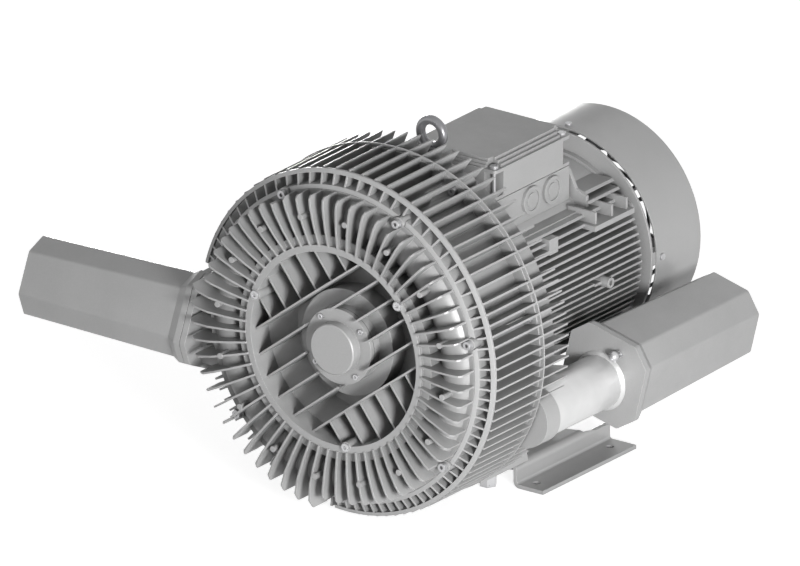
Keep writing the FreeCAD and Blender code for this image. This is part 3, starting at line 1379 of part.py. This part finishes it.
# Foot

def foot_section(grow):
    """Half of the hat section, from the middle of the top out to the edge of the flange."""
    return [(0, FOOT_HEIGHT - grow), (FOOT_WEB_X - grow, FOOT_HEIGHT - grow), (FOOT_WEB_X - grow, FOOT_PLATE - grow),
            (FOOT_EDGE_X, FOOT_PLATE - grow)]


def bent(points, radii):
    """Open run of lines through the points with an arc of the given radius at each inner point."""
    steps = [points[0]]
    for number in range(1, len(points) - 1):
        corner = FreeCAD.Vector(points[number][0], points[number][1], 0)
        before = FreeCAD.Vector(points[number - 1][0], points[number - 1][1], 0) - corner
        after = FreeCAD.Vector(points[number + 1][0], points[number + 1][1], 0) - corner
        radius = radii[number - 1]
        to_before = before.normalize()
        to_after = after.normalize()
        half = to_before.getAngle(to_after) / 2
        start = corner + to_before * (radius / math.tan(half))
        end = corner + to_after * (radius / math.tan(half))
        centre = corner + (to_before + to_after).normalize() * (radius / math.sin(half))
        middle = centre + (corner - centre).normalize() * radius
        steps.append((start.x, start.y))
        steps.append((middle.x, middle.y, end.x, end.y))
    steps.append(points[-1])
    return steps


def mirrored_steps(steps):
    """The same run on the other side, walked back to the middle."""
    back = []
    for number in range(len(steps) - 1, 0, -1):
        here = steps[number]
        there = steps[number - 1][-2:]
        if len(here) == 4:
            back.append((-here[0], here[1], -there[0], there[1]))
        else:
            back.append((-there[0], there[1]))
    return back


def foot_bracket():
    outer = bent(foot_section(0.0), (FOOT_BEND, FOOT_BEND - FOOT_PLATE))
    inner = bent(foot_section(FOOT_PLATE), (FOOT_BEND - FOOT_PLATE, FOOT_BEND))
    edge = (-FOOT_EDGE_X, FOOT_PLATE)
    steps = [edge] + mirrored_steps(outer) + outer[1:]
    low = [(-FOOT_EDGE_X, 0.0)] + mirrored_steps(inner) + inner[1:]
    steps += reversed_steps(low)
    wire = closed_wire(steps, lambda x, z: vector(x, FOOT_FRONT, z - AXIS_HEIGHT))
    plate = Part.Face(wire).extrude(vector(0, FOOT_LENGTH, 0))
    end = FOOT_FRONT + FOOT_LENGTH
    notch = closed_wire([
        (-FOOT_WEB_X + 4, FOOT_CUT_FROM),
        (-FOOT_WEB_X + 30, FOOT_CUT_FROM - 10),
        (FOOT_WEB_X - 30, FOOT_CUT_FROM - 10),
        (FOOT_WEB_X - 4, FOOT_CUT_FROM),
        (FOOT_WEB_X + 4, end + 1),
        (-FOOT_WEB_X - 4, end + 1),
    ], lambda x, y: vector(x, y, foot_top() - FOOT_PLATE - 1))
    holes = [Part.Face(notch).extrude(vector(0, 0, FOOT_PLATE + 3))]
    for x in (-FOOT_HOLE_X, FOOT_HOLE_X):
        for y in (-FOOT_HOLE_SPACING / 2, FOOT_HOLE_SPACING / 2):
            holes.append(post(FOOT_HOLE_RADIUS, -AXIS_HEIGHT - 1, -AXIS_HEIGHT + FOOT_PLATE + 1, x,
                              FOOT_HOLES_MIDDLE + y))
    for x, y in foot_bolt_places():
        holes.append(post(FOOT_BOLT_THREAD + HOLE_CLEARANCE, foot_top() - FOOT_PLATE - 1, foot_top() + 1, x, y))
    return plate.cut(holes)


def reversed_steps(steps):
    """The same run walked from its end to its start."""
    back = [steps[-1][-2:]]
    for number in range(len(steps) - 1, 0, -1):
        here = steps[number]
        there = steps[number - 1][-2:]
        back.append(here[:2] + there if len(here) == 4 else there)
    return back


def foot_bolt_places():
    places = []
    for side in (-1, 1):
        places.append((side * arm_bolt_x(), arm_bolt_y()))
        places.append((side * LEG_X, LEG_FROM + LEG_LENGTH / 2))
    return places


def foot_bolts():
    made = []
    under = foot_top() - FOOT_PLATE
    for x, y in foot_bolt_places():
        head = post(8, under - 7, under, x, y)
        length = ARM_PAD_THICKNESS - 4 + FOOT_PLATE
        made.append(head.fuse(post(FOOT_BOLT_THREAD, under - 1, under + length, x, y)).removeSplitter())
    return group(made)


def levelling_feet():
    made = []
    radius = LEVEL_FOOT_HEX / math.sqrt(3)
    for side in (-1, 1):
        centre = vector(side * LEVEL_FOOT_X, LEVEL_FOOT_Y, -AXIS_HEIGHT)
        corners = [centre + vector(radius * math.cos(math.radians(60 * n)), radius * math.sin(math.radians(60 * n)), 0)
                   for n in range(6)]
        block_hex = Part.Face(Part.makePolygon(corners + corners[:1])).extrude(vector(0, 0, LEVEL_FOOT_HEIGHT))
        stud = post(LEVEL_FOOT_STUD, -AXIS_HEIGHT + LEVEL_FOOT_HEIGHT - 1, foot_top() + ARM_PAD_THICKNESS - 4,
                    centre.x, centre.y)
        made.append(block_hex.fuse(stud).removeSplitter())
    return group(made)


# Silencers

def silencer_widths(inset):
    return [(0.0, SILENCER_FLARE_WIDTH - inset), (SILENCER_FLARE * 0.4, SILENCER_FLARE_WIDTH - inset),
            (SILENCER_FLARE, SILENCER_WIDTH - inset), (SILENCER_LENGTH, SILENCER_END_WIDTH - inset)]


def silencer_loft(plane_at, inset, start, end):
    """Tapered eight-sided body between two distances from the flange face."""
    def width(distance):
        taper = (SILENCER_WIDTH - SILENCER_END_WIDTH) / (SILENCER_LENGTH - SILENCER_FLARE)
        return SILENCER_WIDTH - taper * (distance - SILENCER_FLARE) - inset
    wires = []
    for distance in (start, end):
        wires.append(rounded_outline(octagon(width(distance), SILENCER_CHAMFER - inset * 0.29), SILENCER_ROUND,
                                     plane_at(distance)))
    return Part.makeLoft(wires, True, True)


def silencer_body(plane_at, centre_at, direction, bar_hole):
    """Shell with the flange plate at one end and the mouth plate near the other."""
    flare_wires = []
    for distance, width in silencer_widths(0.0)[:3]:
        flare_wires.append(rounded_outline(octagon(width, SILENCER_CHAMFER), SILENCER_ROUND, plane_at(distance)))
    flare = Part.makeLoft(flare_wires, True, True)
    outer = silencer_loft(plane_at, 0.0, SILENCER_FLARE, SILENCER_LENGTH)
    hollow = silencer_loft(plane_at, 2 * SILENCER_WALL, SILENCER_PLATE, SILENCER_LENGTH - 2 * MOUTH_PLATE)
    recess = silencer_loft(plane_at, 2 * SILENCER_WALL, SILENCER_LENGTH - MOUTH_PLATE, SILENCER_LENGTH + 1)
    body = outer.fuse(flare).removeSplitter().cut([hollow, recess])
    ways = [
        Part.makeCylinder(bar_hole, SILENCER_PLATE + 2, centre_at(-1.0), direction),
        Part.makeCylinder(MOUTH_RADIUS, MOUTH_PLATE + 2, centre_at(SILENCER_LENGTH - 2 * MOUTH_PLATE - 1),
                          direction),
    ]
    return body.cut(ways)


def left_silencer_parts():
    def plane_at(distance):
        return left_plane(-LEFT_PORT_FACE - distance)

    def centre_at(distance):
        return vector(-LEFT_PORT_FACE - distance, LEFT_PORT_Y, LEFT_PORT_Z)
    return plane_at, centre_at, vector(-1, 0, 0)


def right_silencer_parts():
    def plane_at(distance):
        return right_plane(RIGHT_SILENCER_FRONT + distance)

    def centre_at(distance):
        if distance < SILENCER_PLATE:
            return vector(PIPE_X, RIGHT_SILENCER_FRONT + distance, PIPE_Z)
        return vector(PIPE_X + RIGHT_SILENCER_OFFSET[0], RIGHT_SILENCER_FRONT + distance,
                      PIPE_Z + RIGHT_SILENCER_OFFSET[1])
    return plane_at, centre_at, vector(0, 1, 0)


def left_silencer():
    plane_at, centre_at, direction = left_silencer_parts()
    return silencer_body(plane_at, centre_at, direction, MOUTH_RADIUS - 4)


def right_silencer():
    plane_at, centre_at, direction = right_silencer_parts()
    body = silencer_body(plane_at, centre_at, direction, PIPE_RADIUS)
    x, z = ball_screw_place()
    return body.cut(rod(3, RIGHT_SILENCER_FRONT - 1, RIGHT_SILENCER_FRONT + 10, x, z))


def silencer_tube(parts):
    """Inner tube between the two plates."""
    plane_at, centre_at, direction = parts
    start = SILENCER_PLATE
    length = SILENCER_LENGTH - 2 * MOUTH_PLATE - start
    middle = centre_at(start + 1)
    base = centre_at(start) if direction.x else vector(middle.x, RIGHT_SILENCER_FRONT + start, middle.z)
    outer = Part.makeCylinder(INNER_TUBE_RADIUS, length, base, direction)
    inner = Part.makeCylinder(INNER_TUBE_RADIUS - 1.5, length, base, direction)
    return outer.cut(inner)


def silencer_foam(parts):
    plane_at, centre_at, direction = parts
    gap = 0.5
    block_foam = silencer_loft(plane_at, 2 * SILENCER_WALL + 2 * gap, SILENCER_PLATE + gap,
                               SILENCER_LENGTH - 2 * MOUTH_PLATE - gap)
    middle = centre_at(SILENCER_PLATE + 1)
    core = Part.makeCylinder(INNER_TUBE_RADIUS + gap, SILENCER_LENGTH + 20, middle - direction * 10, direction)
    return block_foam.cut(core)


def left_silencer_tube():
    return silencer_tube(left_silencer_parts())


def right_silencer_tube():
    return silencer_tube(right_silencer_parts())


def left_silencer_foam():
    return silencer_foam(left_silencer_parts())


def right_silencer_foam():
    return silencer_foam(right_silencer_parts())


def port_gasket():
    """Flat gasket between the port block and the left silencer."""
    outline = rounded_outline(octagon(SILENCER_FLARE_WIDTH - 4, SILENCER_CHAMFER), SILENCER_ROUND,
                              left_plane(-LEFT_PORT_FACE))
    sheet = Part.Face(outline).extrude(vector(GASKET, 0, 0))
    way = Part.makeCylinder(MOUTH_RADIUS - 4, 10, vector(-LEFT_PORT_FACE - 2, LEFT_PORT_Y, LEFT_PORT_Z),
                            vector(1, 0, 0))
    return sheet.cut(way)


def ball_screw_place():
    return PIPE_X + 35, PIPE_Z + 50


def ball_screw():
    """Small drain screw with a ball head on the end face of the right silencer."""
    x, z = ball_screw_place()
    front = RIGHT_SILENCER_FRONT
    ball = Part.makeSphere(8, vector(x, front - 14, z))
    stem = rod(3, front - 12, front + 9, x, z)
    collar = rod(6, front - 5, front, x, z)
    return joined(ball, [stem, collar])


def outlet_pipe():
    front = PORT_BOSS_END - PIPE_SOCKET
    back = RIGHT_SILENCER_FRONT + SILENCER_PLATE
    tube = rod(PIPE_RADIUS, front, back, PIPE_X, PIPE_Z)
    collar = Part.makeCone(PIPE_RADIUS + 1, PIPE_RADIUS + PIPE_COLLAR, PIPE_COLLAR,
                           vector(PIPE_X, RIGHT_SILENCER_FRONT - PIPE_COLLAR, PIPE_Z), vector(0, 1, 0))
    return tube.fuse(collar).removeSplitter().cut(rod(PIPE_RADIUS - PIPE_WALL, front - 1, back + 1, PIPE_X, PIPE_Z))


PIECES = {
    "front_cover": front_cover,
    "hub_cap": hub_cap,
    "hub_cap_gasket": hub_cap_gasket,
    "hub_cap_screws": hub_cap_screws,
    "rim_screws": rim_screws,
    "cover_bolts": cover_bolts,
    "middle_casing": middle_casing,
    "interstage_seal": interstage_seal,
    "rear_casing": rear_casing,
    "casing_bolts": casing_bolts,
    "eye_bolt": eye_bolt,
    "stage_one_impeller": stage_one_impeller,
    "stage_two_impeller": stage_two_impeller,
    "impeller_spacer": impeller_spacer,
    "impeller_keys": impeller_keys,
    "front_sleeve": front_sleeve,
    "shaft_seal": shaft_seal,
    "motor_shaft": motor_shaft,
    "rotor_core": rotor_core,
    "stator_core": stator_core,
    "stator_winding": stator_winding,
    "motor_frame": motor_frame,
    "motor_bolts": motor_bolts,
    "rear_end_shield": rear_end_shield,
    "shield_screws": shield_screws,
    "wave_spring": wave_spring,
    "cooling_fan": cooling_fan,
    "fan_retaining_ring": fan_retaining_ring,
    "fan_cowl": fan_cowl,
    "cowl_screws": cowl_screws,
    "terminal_box_base": terminal_box_base,
    "terminal_box_lid": terminal_box_lid,
    "lid_gasket": lid_gasket,
    "lid_screws": lid_screws,
    "blanking_plugs": blanking_plugs,
    "terminal_board": terminal_board,
    "terminal_studs": terminal_studs,
    "nameplate": nameplate,
    "foot_bracket": foot_bracket,
    "foot_bolts": foot_bolts,
    "levelling_feet": levelling_feet,
    "left_silencer": left_silencer,
    "right_silencer": right_silencer,
    "left_silencer_tube": left_silencer_tube,
    "right_silencer_tube": right_silencer_tube,
    "left_silencer_foam": left_silencer_foam,
    "right_silencer_foam": right_silencer_foam,
    "port_gasket": port_gasket,
    "ball_screw": ball_screw,
    "outlet_pipe": outlet_pipe,
}

BEARINGS = {
    "front": (FRONT_BEARING, FRONT_BEARING_AT),
    "drive": (DRIVE_BEARING, DRIVE_BEARING_AT),
    "rear": (REAR_BEARING, REAR_BEARING_AT),
}


def save(name, shape):
    placed = shape.copy()
    placed.translate(vector(0, -FOOT_HOLES_MIDDLE, AXIS_HEIGHT))
    placed.exportStep("parts/" + name + ".step")


os.makedirs("parts", exist_ok=True)
for piece, make in PIECES.items():
    save(piece, make())
for place, (size, at) in BEARINGS.items():
    save(place + "_bearing_inner_ring", bearing_ring(size, at, False))
    save(place + "_bearing_outer_ring", bearing_ring(size, at, True))
    save(place + "_bearing_balls", group([bearing_balls(size, at), bearing_cage(size, at)]))
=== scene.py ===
import json
import math

import bpy
from mathutils import Matrix, Vector

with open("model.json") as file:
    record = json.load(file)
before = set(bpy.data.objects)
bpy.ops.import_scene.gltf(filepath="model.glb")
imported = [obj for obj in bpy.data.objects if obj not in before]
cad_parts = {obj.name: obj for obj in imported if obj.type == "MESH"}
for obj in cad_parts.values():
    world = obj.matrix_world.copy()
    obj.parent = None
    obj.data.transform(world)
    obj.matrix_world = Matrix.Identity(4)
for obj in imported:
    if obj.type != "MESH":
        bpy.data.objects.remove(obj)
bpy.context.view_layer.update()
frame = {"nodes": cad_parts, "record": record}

# Places in metres, angles in degrees, picture places in pixels
AXIS_HEIGHT = 0.275
HUB_FRONT_Y = -0.391
VIEW_AZIMUTH = 36.0
VIEW_ELEVATION = 21.2
PIXELS_PER_METRE = 690.0
IMAGE_WIDTH = 800
IMAGE_HEIGHT = 566
HUB_PIXEL = (333.3, 349.1)
CAMERA_DISTANCE = 3.0
VIEW_DEPTH = 100.0

# Tones of the object: cast and painted metal share one grey
CAST_TONE = (0.42, 0.42, 0.42)
STEEL_TONE = (0.48, 0.48, 0.49)
ZINC_TONE = (0.56, 0.56, 0.57)
EYE_TONE = (0.24, 0.24, 0.25)
PIPE_TONE = (0.68, 0.68, 0.68)
PLATE_TONE = (0.55, 0.55, 0.55)
COPPER_TONE = (0.45, 0.20, 0.09)
RUBBER_TONE = (0.03, 0.03, 0.03)
FOAM_TONE = (0.05, 0.05, 0.05)
PLASTIC_TONE = (0.05, 0.05, 0.055)

# Painted light: a painted highlight lightens sharp edges, painted shade darkens gaps and corners
PAINTED_EDGE_HIGHLIGHT = 1.6
EDGE_RADIUS = 0.0008
# Painted shade: reach and darkest level of the darkening in gaps and corners
PAINTED_SHADE_REACH = 0.025
PAINTED_SHADE_LEVEL = 0.55
GRAIN_HEIGHT = 0.0006

# Stage
WHITE = (1.0, 1.0, 1.0, 1.0)
SKY_STRENGTH = 0.12
FLOOR_SIZE = 60.0
FLOOR_DROP = 0.0005
FLOOR_TONE = (0.55, 0.55, 0.55, 1.0)
FLOOR_ROUGHNESS = 0.9
FLOOR_GLOW = 0.8
LAMP_AIM = (0.0, -0.1, AXIS_HEIGHT)

nodes = frame["nodes"]
scene = bpy.context.scene


# Materials

class Shader:
    """Node material with a Principled shader, and short calls to add and join nodes."""

    def __init__(self, name):
        self.material = bpy.data.materials.new(name)
        self.material.use_nodes = True
        self.tree = self.material.node_tree
        self.main = self.tree.nodes["Principled BSDF"]

    def add(self, kind, **values):
        """New node; each value is set on the node itself, or else on its input of that name."""
        node = self.tree.nodes.new(kind)
        for key, value in values.items():
            if hasattr(node, key):
                setattr(node, key, value)
            else:
                node.inputs[key].default_value = value
        return node

    def join(self, source, target):
        self.tree.links.new(source, target)

    def multiply(self, first, second):
        node = self.add("ShaderNodeMath", operation="MULTIPLY")
        self.join(first, node.inputs[0])
        self.join(second, node.inputs[1])
        return node.outputs[0]

    def ramp(self, source, low, high, from_value, to_value):
        node = self.add("ShaderNodeMapRange")
        self.join(source, node.inputs["Value"])
        node.inputs["From Min"].default_value = low
        node.inputs["From Max"].default_value = high
        node.inputs["To Min"].default_value = from_value
        node.inputs["To Max"].default_value = to_value
        return node.outputs["Result"]

    def noise(self, scale, detail=3.0, stretch=None):
        node = self.add("ShaderNodeTexNoise", Scale=scale, Detail=detail)
        place = self.add("ShaderNodeTexCoord").outputs["Object"]
        if stretch:
            mapping = self.add("ShaderNodeMapping")
            mapping.inputs["Scale"].default_value = stretch
            self.join(place, mapping.inputs["Vector"])
            place = mapping.outputs["Vector"]
        self.join(place, node.inputs["Vector"])
        return node.outputs["Fac"]

    def edges(self, radius):
        """1 on flat faces, less where a sharp edge is nearer than the radius."""
        bevel = self.add("ShaderNodeBevel", samples=4, Radius=radius)
        geometry = self.add("ShaderNodeNewGeometry")
        compare = self.add("ShaderNodeVectorMath", operation="DOT_PRODUCT")
        self.join(bevel.outputs["Normal"], compare.inputs[0])
        self.join(geometry.outputs["Normal"], compare.inputs[1])
        return compare.outputs["Value"], bevel.outputs["Normal"]

    def recess_shade(self, reach, darkest):
        """Painted shade: 1 in the open, less in gaps and corners."""
        cover = self.add("ShaderNodeAmbientOcclusion", samples=4, Distance=reach)
        return self.ramp(cover.outputs["AO"], 0.15, 0.75, darkest, 1.0)


def metal(name, tone, roughness=0.42, metallic=0.12, grain=900.0, bump=0.12, edge=PAINTED_EDGE_HIGHLIGHT,
          edge_radius=EDGE_RADIUS, variation=0.05, stretch=None):
    """Metal or paint: a tone that varies a little, fine grain in the bump, a painted highlight that lightens
    sharp edges, and painted shade in gaps and corners.
    """
    shader = Shader(name)
    flatness, rounded = shader.edges(edge_radius)
    # Painted highlight: the tone is lightened near sharp edges, by the factor edge
    painted_edge_highlight = shader.ramp(flatness, 0.80, 0.995, edge, 1.0)
    cloud = shader.ramp(shader.noise(9.0), 0.3, 0.7, 1.0 - variation, 1.0 + variation)
    speck = shader.ramp(shader.noise(grain * 0.6, 2.0, stretch), 0.3, 0.7, 0.97, 1.03)
    level = shader.multiply(shader.multiply(painted_edge_highlight, cloud), speck)
    # Painted shade: the tone is darkened in gaps and corners, where ambient occlusion finds nearby surfaces
    level = shader.multiply(level, shader.recess_shade(PAINTED_SHADE_REACH, PAINTED_SHADE_LEVEL))
    colour = shader.add("ShaderNodeVectorMath", operation="SCALE")
    colour.inputs[0].default_value = tone
    shader.join(level, colour.inputs["Scale"])
    shader.join(colour.outputs["Vector"], shader.main.inputs["Base Color"])
    rough = shader.ramp(shader.noise(60.0, 4.0, stretch), 0.3, 0.7, roughness - 0.06, roughness + 0.06)
    shader.join(rough, shader.main.inputs["Roughness"])
    shader.main.inputs["Metallic"].default_value = metallic
    relief = shader.add("ShaderNodeBump", Strength=bump, Distance=GRAIN_HEIGHT)
    shader.join(shader.noise(grain, 4.0, stretch), relief.inputs["Height"])
    shader.join(rounded, relief.inputs["Normal"])
    shader.join(relief.outputs["Normal"], shader.main.inputs["Normal"])
    return shader.material


def soft_finish(name, tone, roughness, grain, bump):
    """Rubber, plastic or foam with a grain."""
    # edge=1.15 gives these finishes a weaker painted edge highlight
    return metal(name, tone, roughness, 0.0, grain, bump, edge=1.15, edge_radius=0.0006, variation=0.08)


# Each edge value is the strength of that finish's painted edge highlight
FINISHES = {
    "cast_aluminium": metal("cast_aluminium", CAST_TONE),
    "steel": metal("steel", STEEL_TONE, 0.3, 0.9, 700.0, 0.05, stretch=(1.0, 14.0, 1.0)),
    "zinc_screw": metal("zinc_screw", ZINC_TONE, 0.3, 0.6, 1500.0, 0.05, edge=1.3, edge_radius=0.0006),
    "polished_steel": metal("polished_steel", EYE_TONE, 0.32, 0.5, 300.0, 0.03, edge=1.8,
                            edge_radius=0.0010),
    "black_rubber": soft_finish("black_rubber", RUBBER_TONE, 0.75, 1200.0, 0.2),
    "foam": soft_finish("foam", FOAM_TONE, 0.95, 420.0, 0.9),
    "dark_plastic": soft_finish("dark_plastic", PLASTIC_TONE, 0.5, 1500.0, 0.1),
    "copper": metal("copper", COPPER_TONE, 0.35, 0.8, 500.0, 0.3),
    "cowl_paint": metal("cowl_paint", CAST_TONE, 0.36, 0.2, 1600.0, 0.04, edge=1.25,
                        edge_radius=0.0009, variation=0.03),
    "foot_paint": metal("foot_paint", CAST_TONE, 0.4, 0.2, 1400.0, 0.05, edge=1.35,
                        edge_radius=0.0009, variation=0.03),
    "pipe_metal": metal("pipe_metal", PIPE_TONE, 0.34, 0.35, 60.0, 0.01, edge=1.15, variation=0.03),
    "plate_metal": metal("plate_metal", PLATE_TONE, 0.32, 0.7, 900.0, 0.05, edge=1.2,
                         edge_radius=0.0006, stretch=(1.0, 1.0, 20.0)),
}


def dress_nodes():
    """Gives every CAD node the finish of its slot."""
    slots = {entry["node"]: entry["material_slot"] for entry in frame["record"]["subparts"]}
    for name, obj in nodes.items():
        obj.data.materials.clear()
        obj.data.materials.append(FINISHES[slots[name]])


# Camera, light and floor

def direction_from(azimuth, elevation):
    """Unit vector from the object out to a place at these angles; azimuth 0 is the front."""
    a = math.radians(azimuth)
    e = math.radians(elevation)
    return Vector((math.sin(a) * math.cos(e), -math.cos(a) * math.cos(e), math.sin(e)))


def add_camera():
    """Parallel camera that puts the middle of the hub rim on its place in the picture."""
    back = direction_from(VIEW_AZIMUTH, VIEW_ELEVATION)
    turn = math.radians(VIEW_AZIMUTH)
    right = Vector((math.cos(turn), math.sin(turn), 0.0))
    up = back.cross(right)
    target = Vector((0.0, HUB_FRONT_Y, AXIS_HEIGHT))
    target += right * (IMAGE_WIDTH / 2 - HUB_PIXEL[0]) / PIXELS_PER_METRE
    target += up * (HUB_PIXEL[1] - IMAGE_HEIGHT / 2) / PIXELS_PER_METRE
    data = bpy.data.cameras.new("camera")
    data.type = "ORTHO"
    data.ortho_scale = IMAGE_WIDTH / PIXELS_PER_METRE
    data.clip_end = VIEW_DEPTH
    camera = bpy.data.objects.new("camera", data)
    axes = Matrix((right, up, back)).transposed().to_4x4()
    camera.matrix_world = Matrix.Translation(target + back * CAMERA_DISTANCE) @ axes
    scene.collection.objects.link(camera)
    scene.camera = camera


def add_lamp(name, azimuth, elevation, distance, size, power):
    """Soft round lamp that looks at the object from this direction."""
    back = direction_from(azimuth, elevation)
    data = bpy.data.lights.new(name, "AREA")
    data.shape = "DISK"
    data.size = size
    data.energy = power
    lamp = bpy.data.objects.new(name, data)
    lamp.location = Vector(LAMP_AIM) + back * distance
    lamp.rotation_euler = back.to_track_quat("Z", "Y").to_euler()
    scene.collection.objects.link(lamp)


def ray_test(tree, kinds):
    """1 for rays of any of these kinds, 0 for all other rays."""
    path = tree.nodes.new("ShaderNodeLightPath")
    result = path.outputs[kinds[0]]
    for kind in kinds[1:]:
        either = tree.nodes.new("ShaderNodeMath")
        either.operation = "MAXIMUM"
        tree.links.new(result, either.inputs[0])
        tree.links.new(path.outputs[kind], either.inputs[1])
        result = either.outputs[0]
    return result


def add_world():
    """Weak sky light; the backdrop is white to the camera, in gloss and through glass."""
    world = bpy.data.worlds.new("world")
    world.use_nodes = True
    tree = world.node_tree
    sky = tree.nodes["Background"]
    sky.inputs["Color"].default_value = WHITE
    sky.inputs["Strength"].default_value = SKY_STRENGTH
    backdrop = tree.nodes.new("ShaderNodeBackground")
    backdrop.inputs["Color"].default_value = WHITE
    backdrop.inputs["Strength"].default_value = 1.0
    mix = tree.nodes.new("ShaderNodeMixShader")
    shown = ray_test(tree, ("Is Camera Ray", "Is Glossy Ray", "Is Transmission Ray"))
    tree.links.new(shown, mix.inputs["Fac"])
    tree.links.new(sky.outputs[0], mix.inputs[1])
    tree.links.new(backdrop.outputs[0], mix.inputs[2])
    tree.links.new(mix.outputs[0], tree.nodes["World Output"].inputs["Surface"])
    scene.world = world


def floor_material():
    """Diffuse floor that takes the shadow, with a glow to the camera and in gloss that lifts it to white."""
    material = bpy.data.materials.new("floor")
    material.use_nodes = True
    tree = material.node_tree
    main = tree.nodes["Principled BSDF"]
    main.inputs["Base Color"].default_value = FLOOR_TONE
    main.inputs["Roughness"].default_value = FLOOR_ROUGHNESS
    strength = tree.nodes.new("ShaderNodeMath")
    strength.operation = "MULTIPLY"
    strength.inputs[1].default_value = FLOOR_GLOW
    tree.links.new(ray_test(tree, ("Is Camera Ray", "Is Glossy Ray")), strength.inputs[0])
    glow = tree.nodes.new("ShaderNodeEmission")
    glow.inputs["Color"].default_value = WHITE
    tree.links.new(strength.outputs[0], glow.inputs["Strength"])
    both = tree.nodes.new("ShaderNodeAddShader")
    tree.links.new(main.outputs[0], both.inputs[0])
    tree.links.new(glow.outputs[0], both.inputs[1])
    tree.links.new(both.outputs[0], tree.nodes["Material Output"].inputs["Surface"])
    return material


def add_floor():
    bpy.ops.mesh.primitive_plane_add(size=FLOOR_SIZE, location=(0.0, 0.0, -FLOOR_DROP))
    floor = bpy.context.object
    floor.name = "floor"
    floor.data.materials.append(floor_material())


dress_nodes()
add_camera()
add_world()
add_floor()
add_lamp("key", azimuth=54.0, elevation=8.0, distance=3.2, size=0.9, power=112.0)
add_lamp("fill", azimuth=-45.0, elevation=20.0, distance=3.4, size=2.0, power=4.0)
add_lamp("rim", azimuth=190.0, elevation=35.0, distance=3.4, size=2.0, power=3.0)
add_lamp("back", azimuth=225.0, elevation=2.0, distance=3.4, size=0.9, power=50.0)
add_lamp("left", azimuth=-60.0, elevation=-2.0, distance=3.4, size=1.6, power=6.0)
scene.view_settings.view_transform = "Standard"
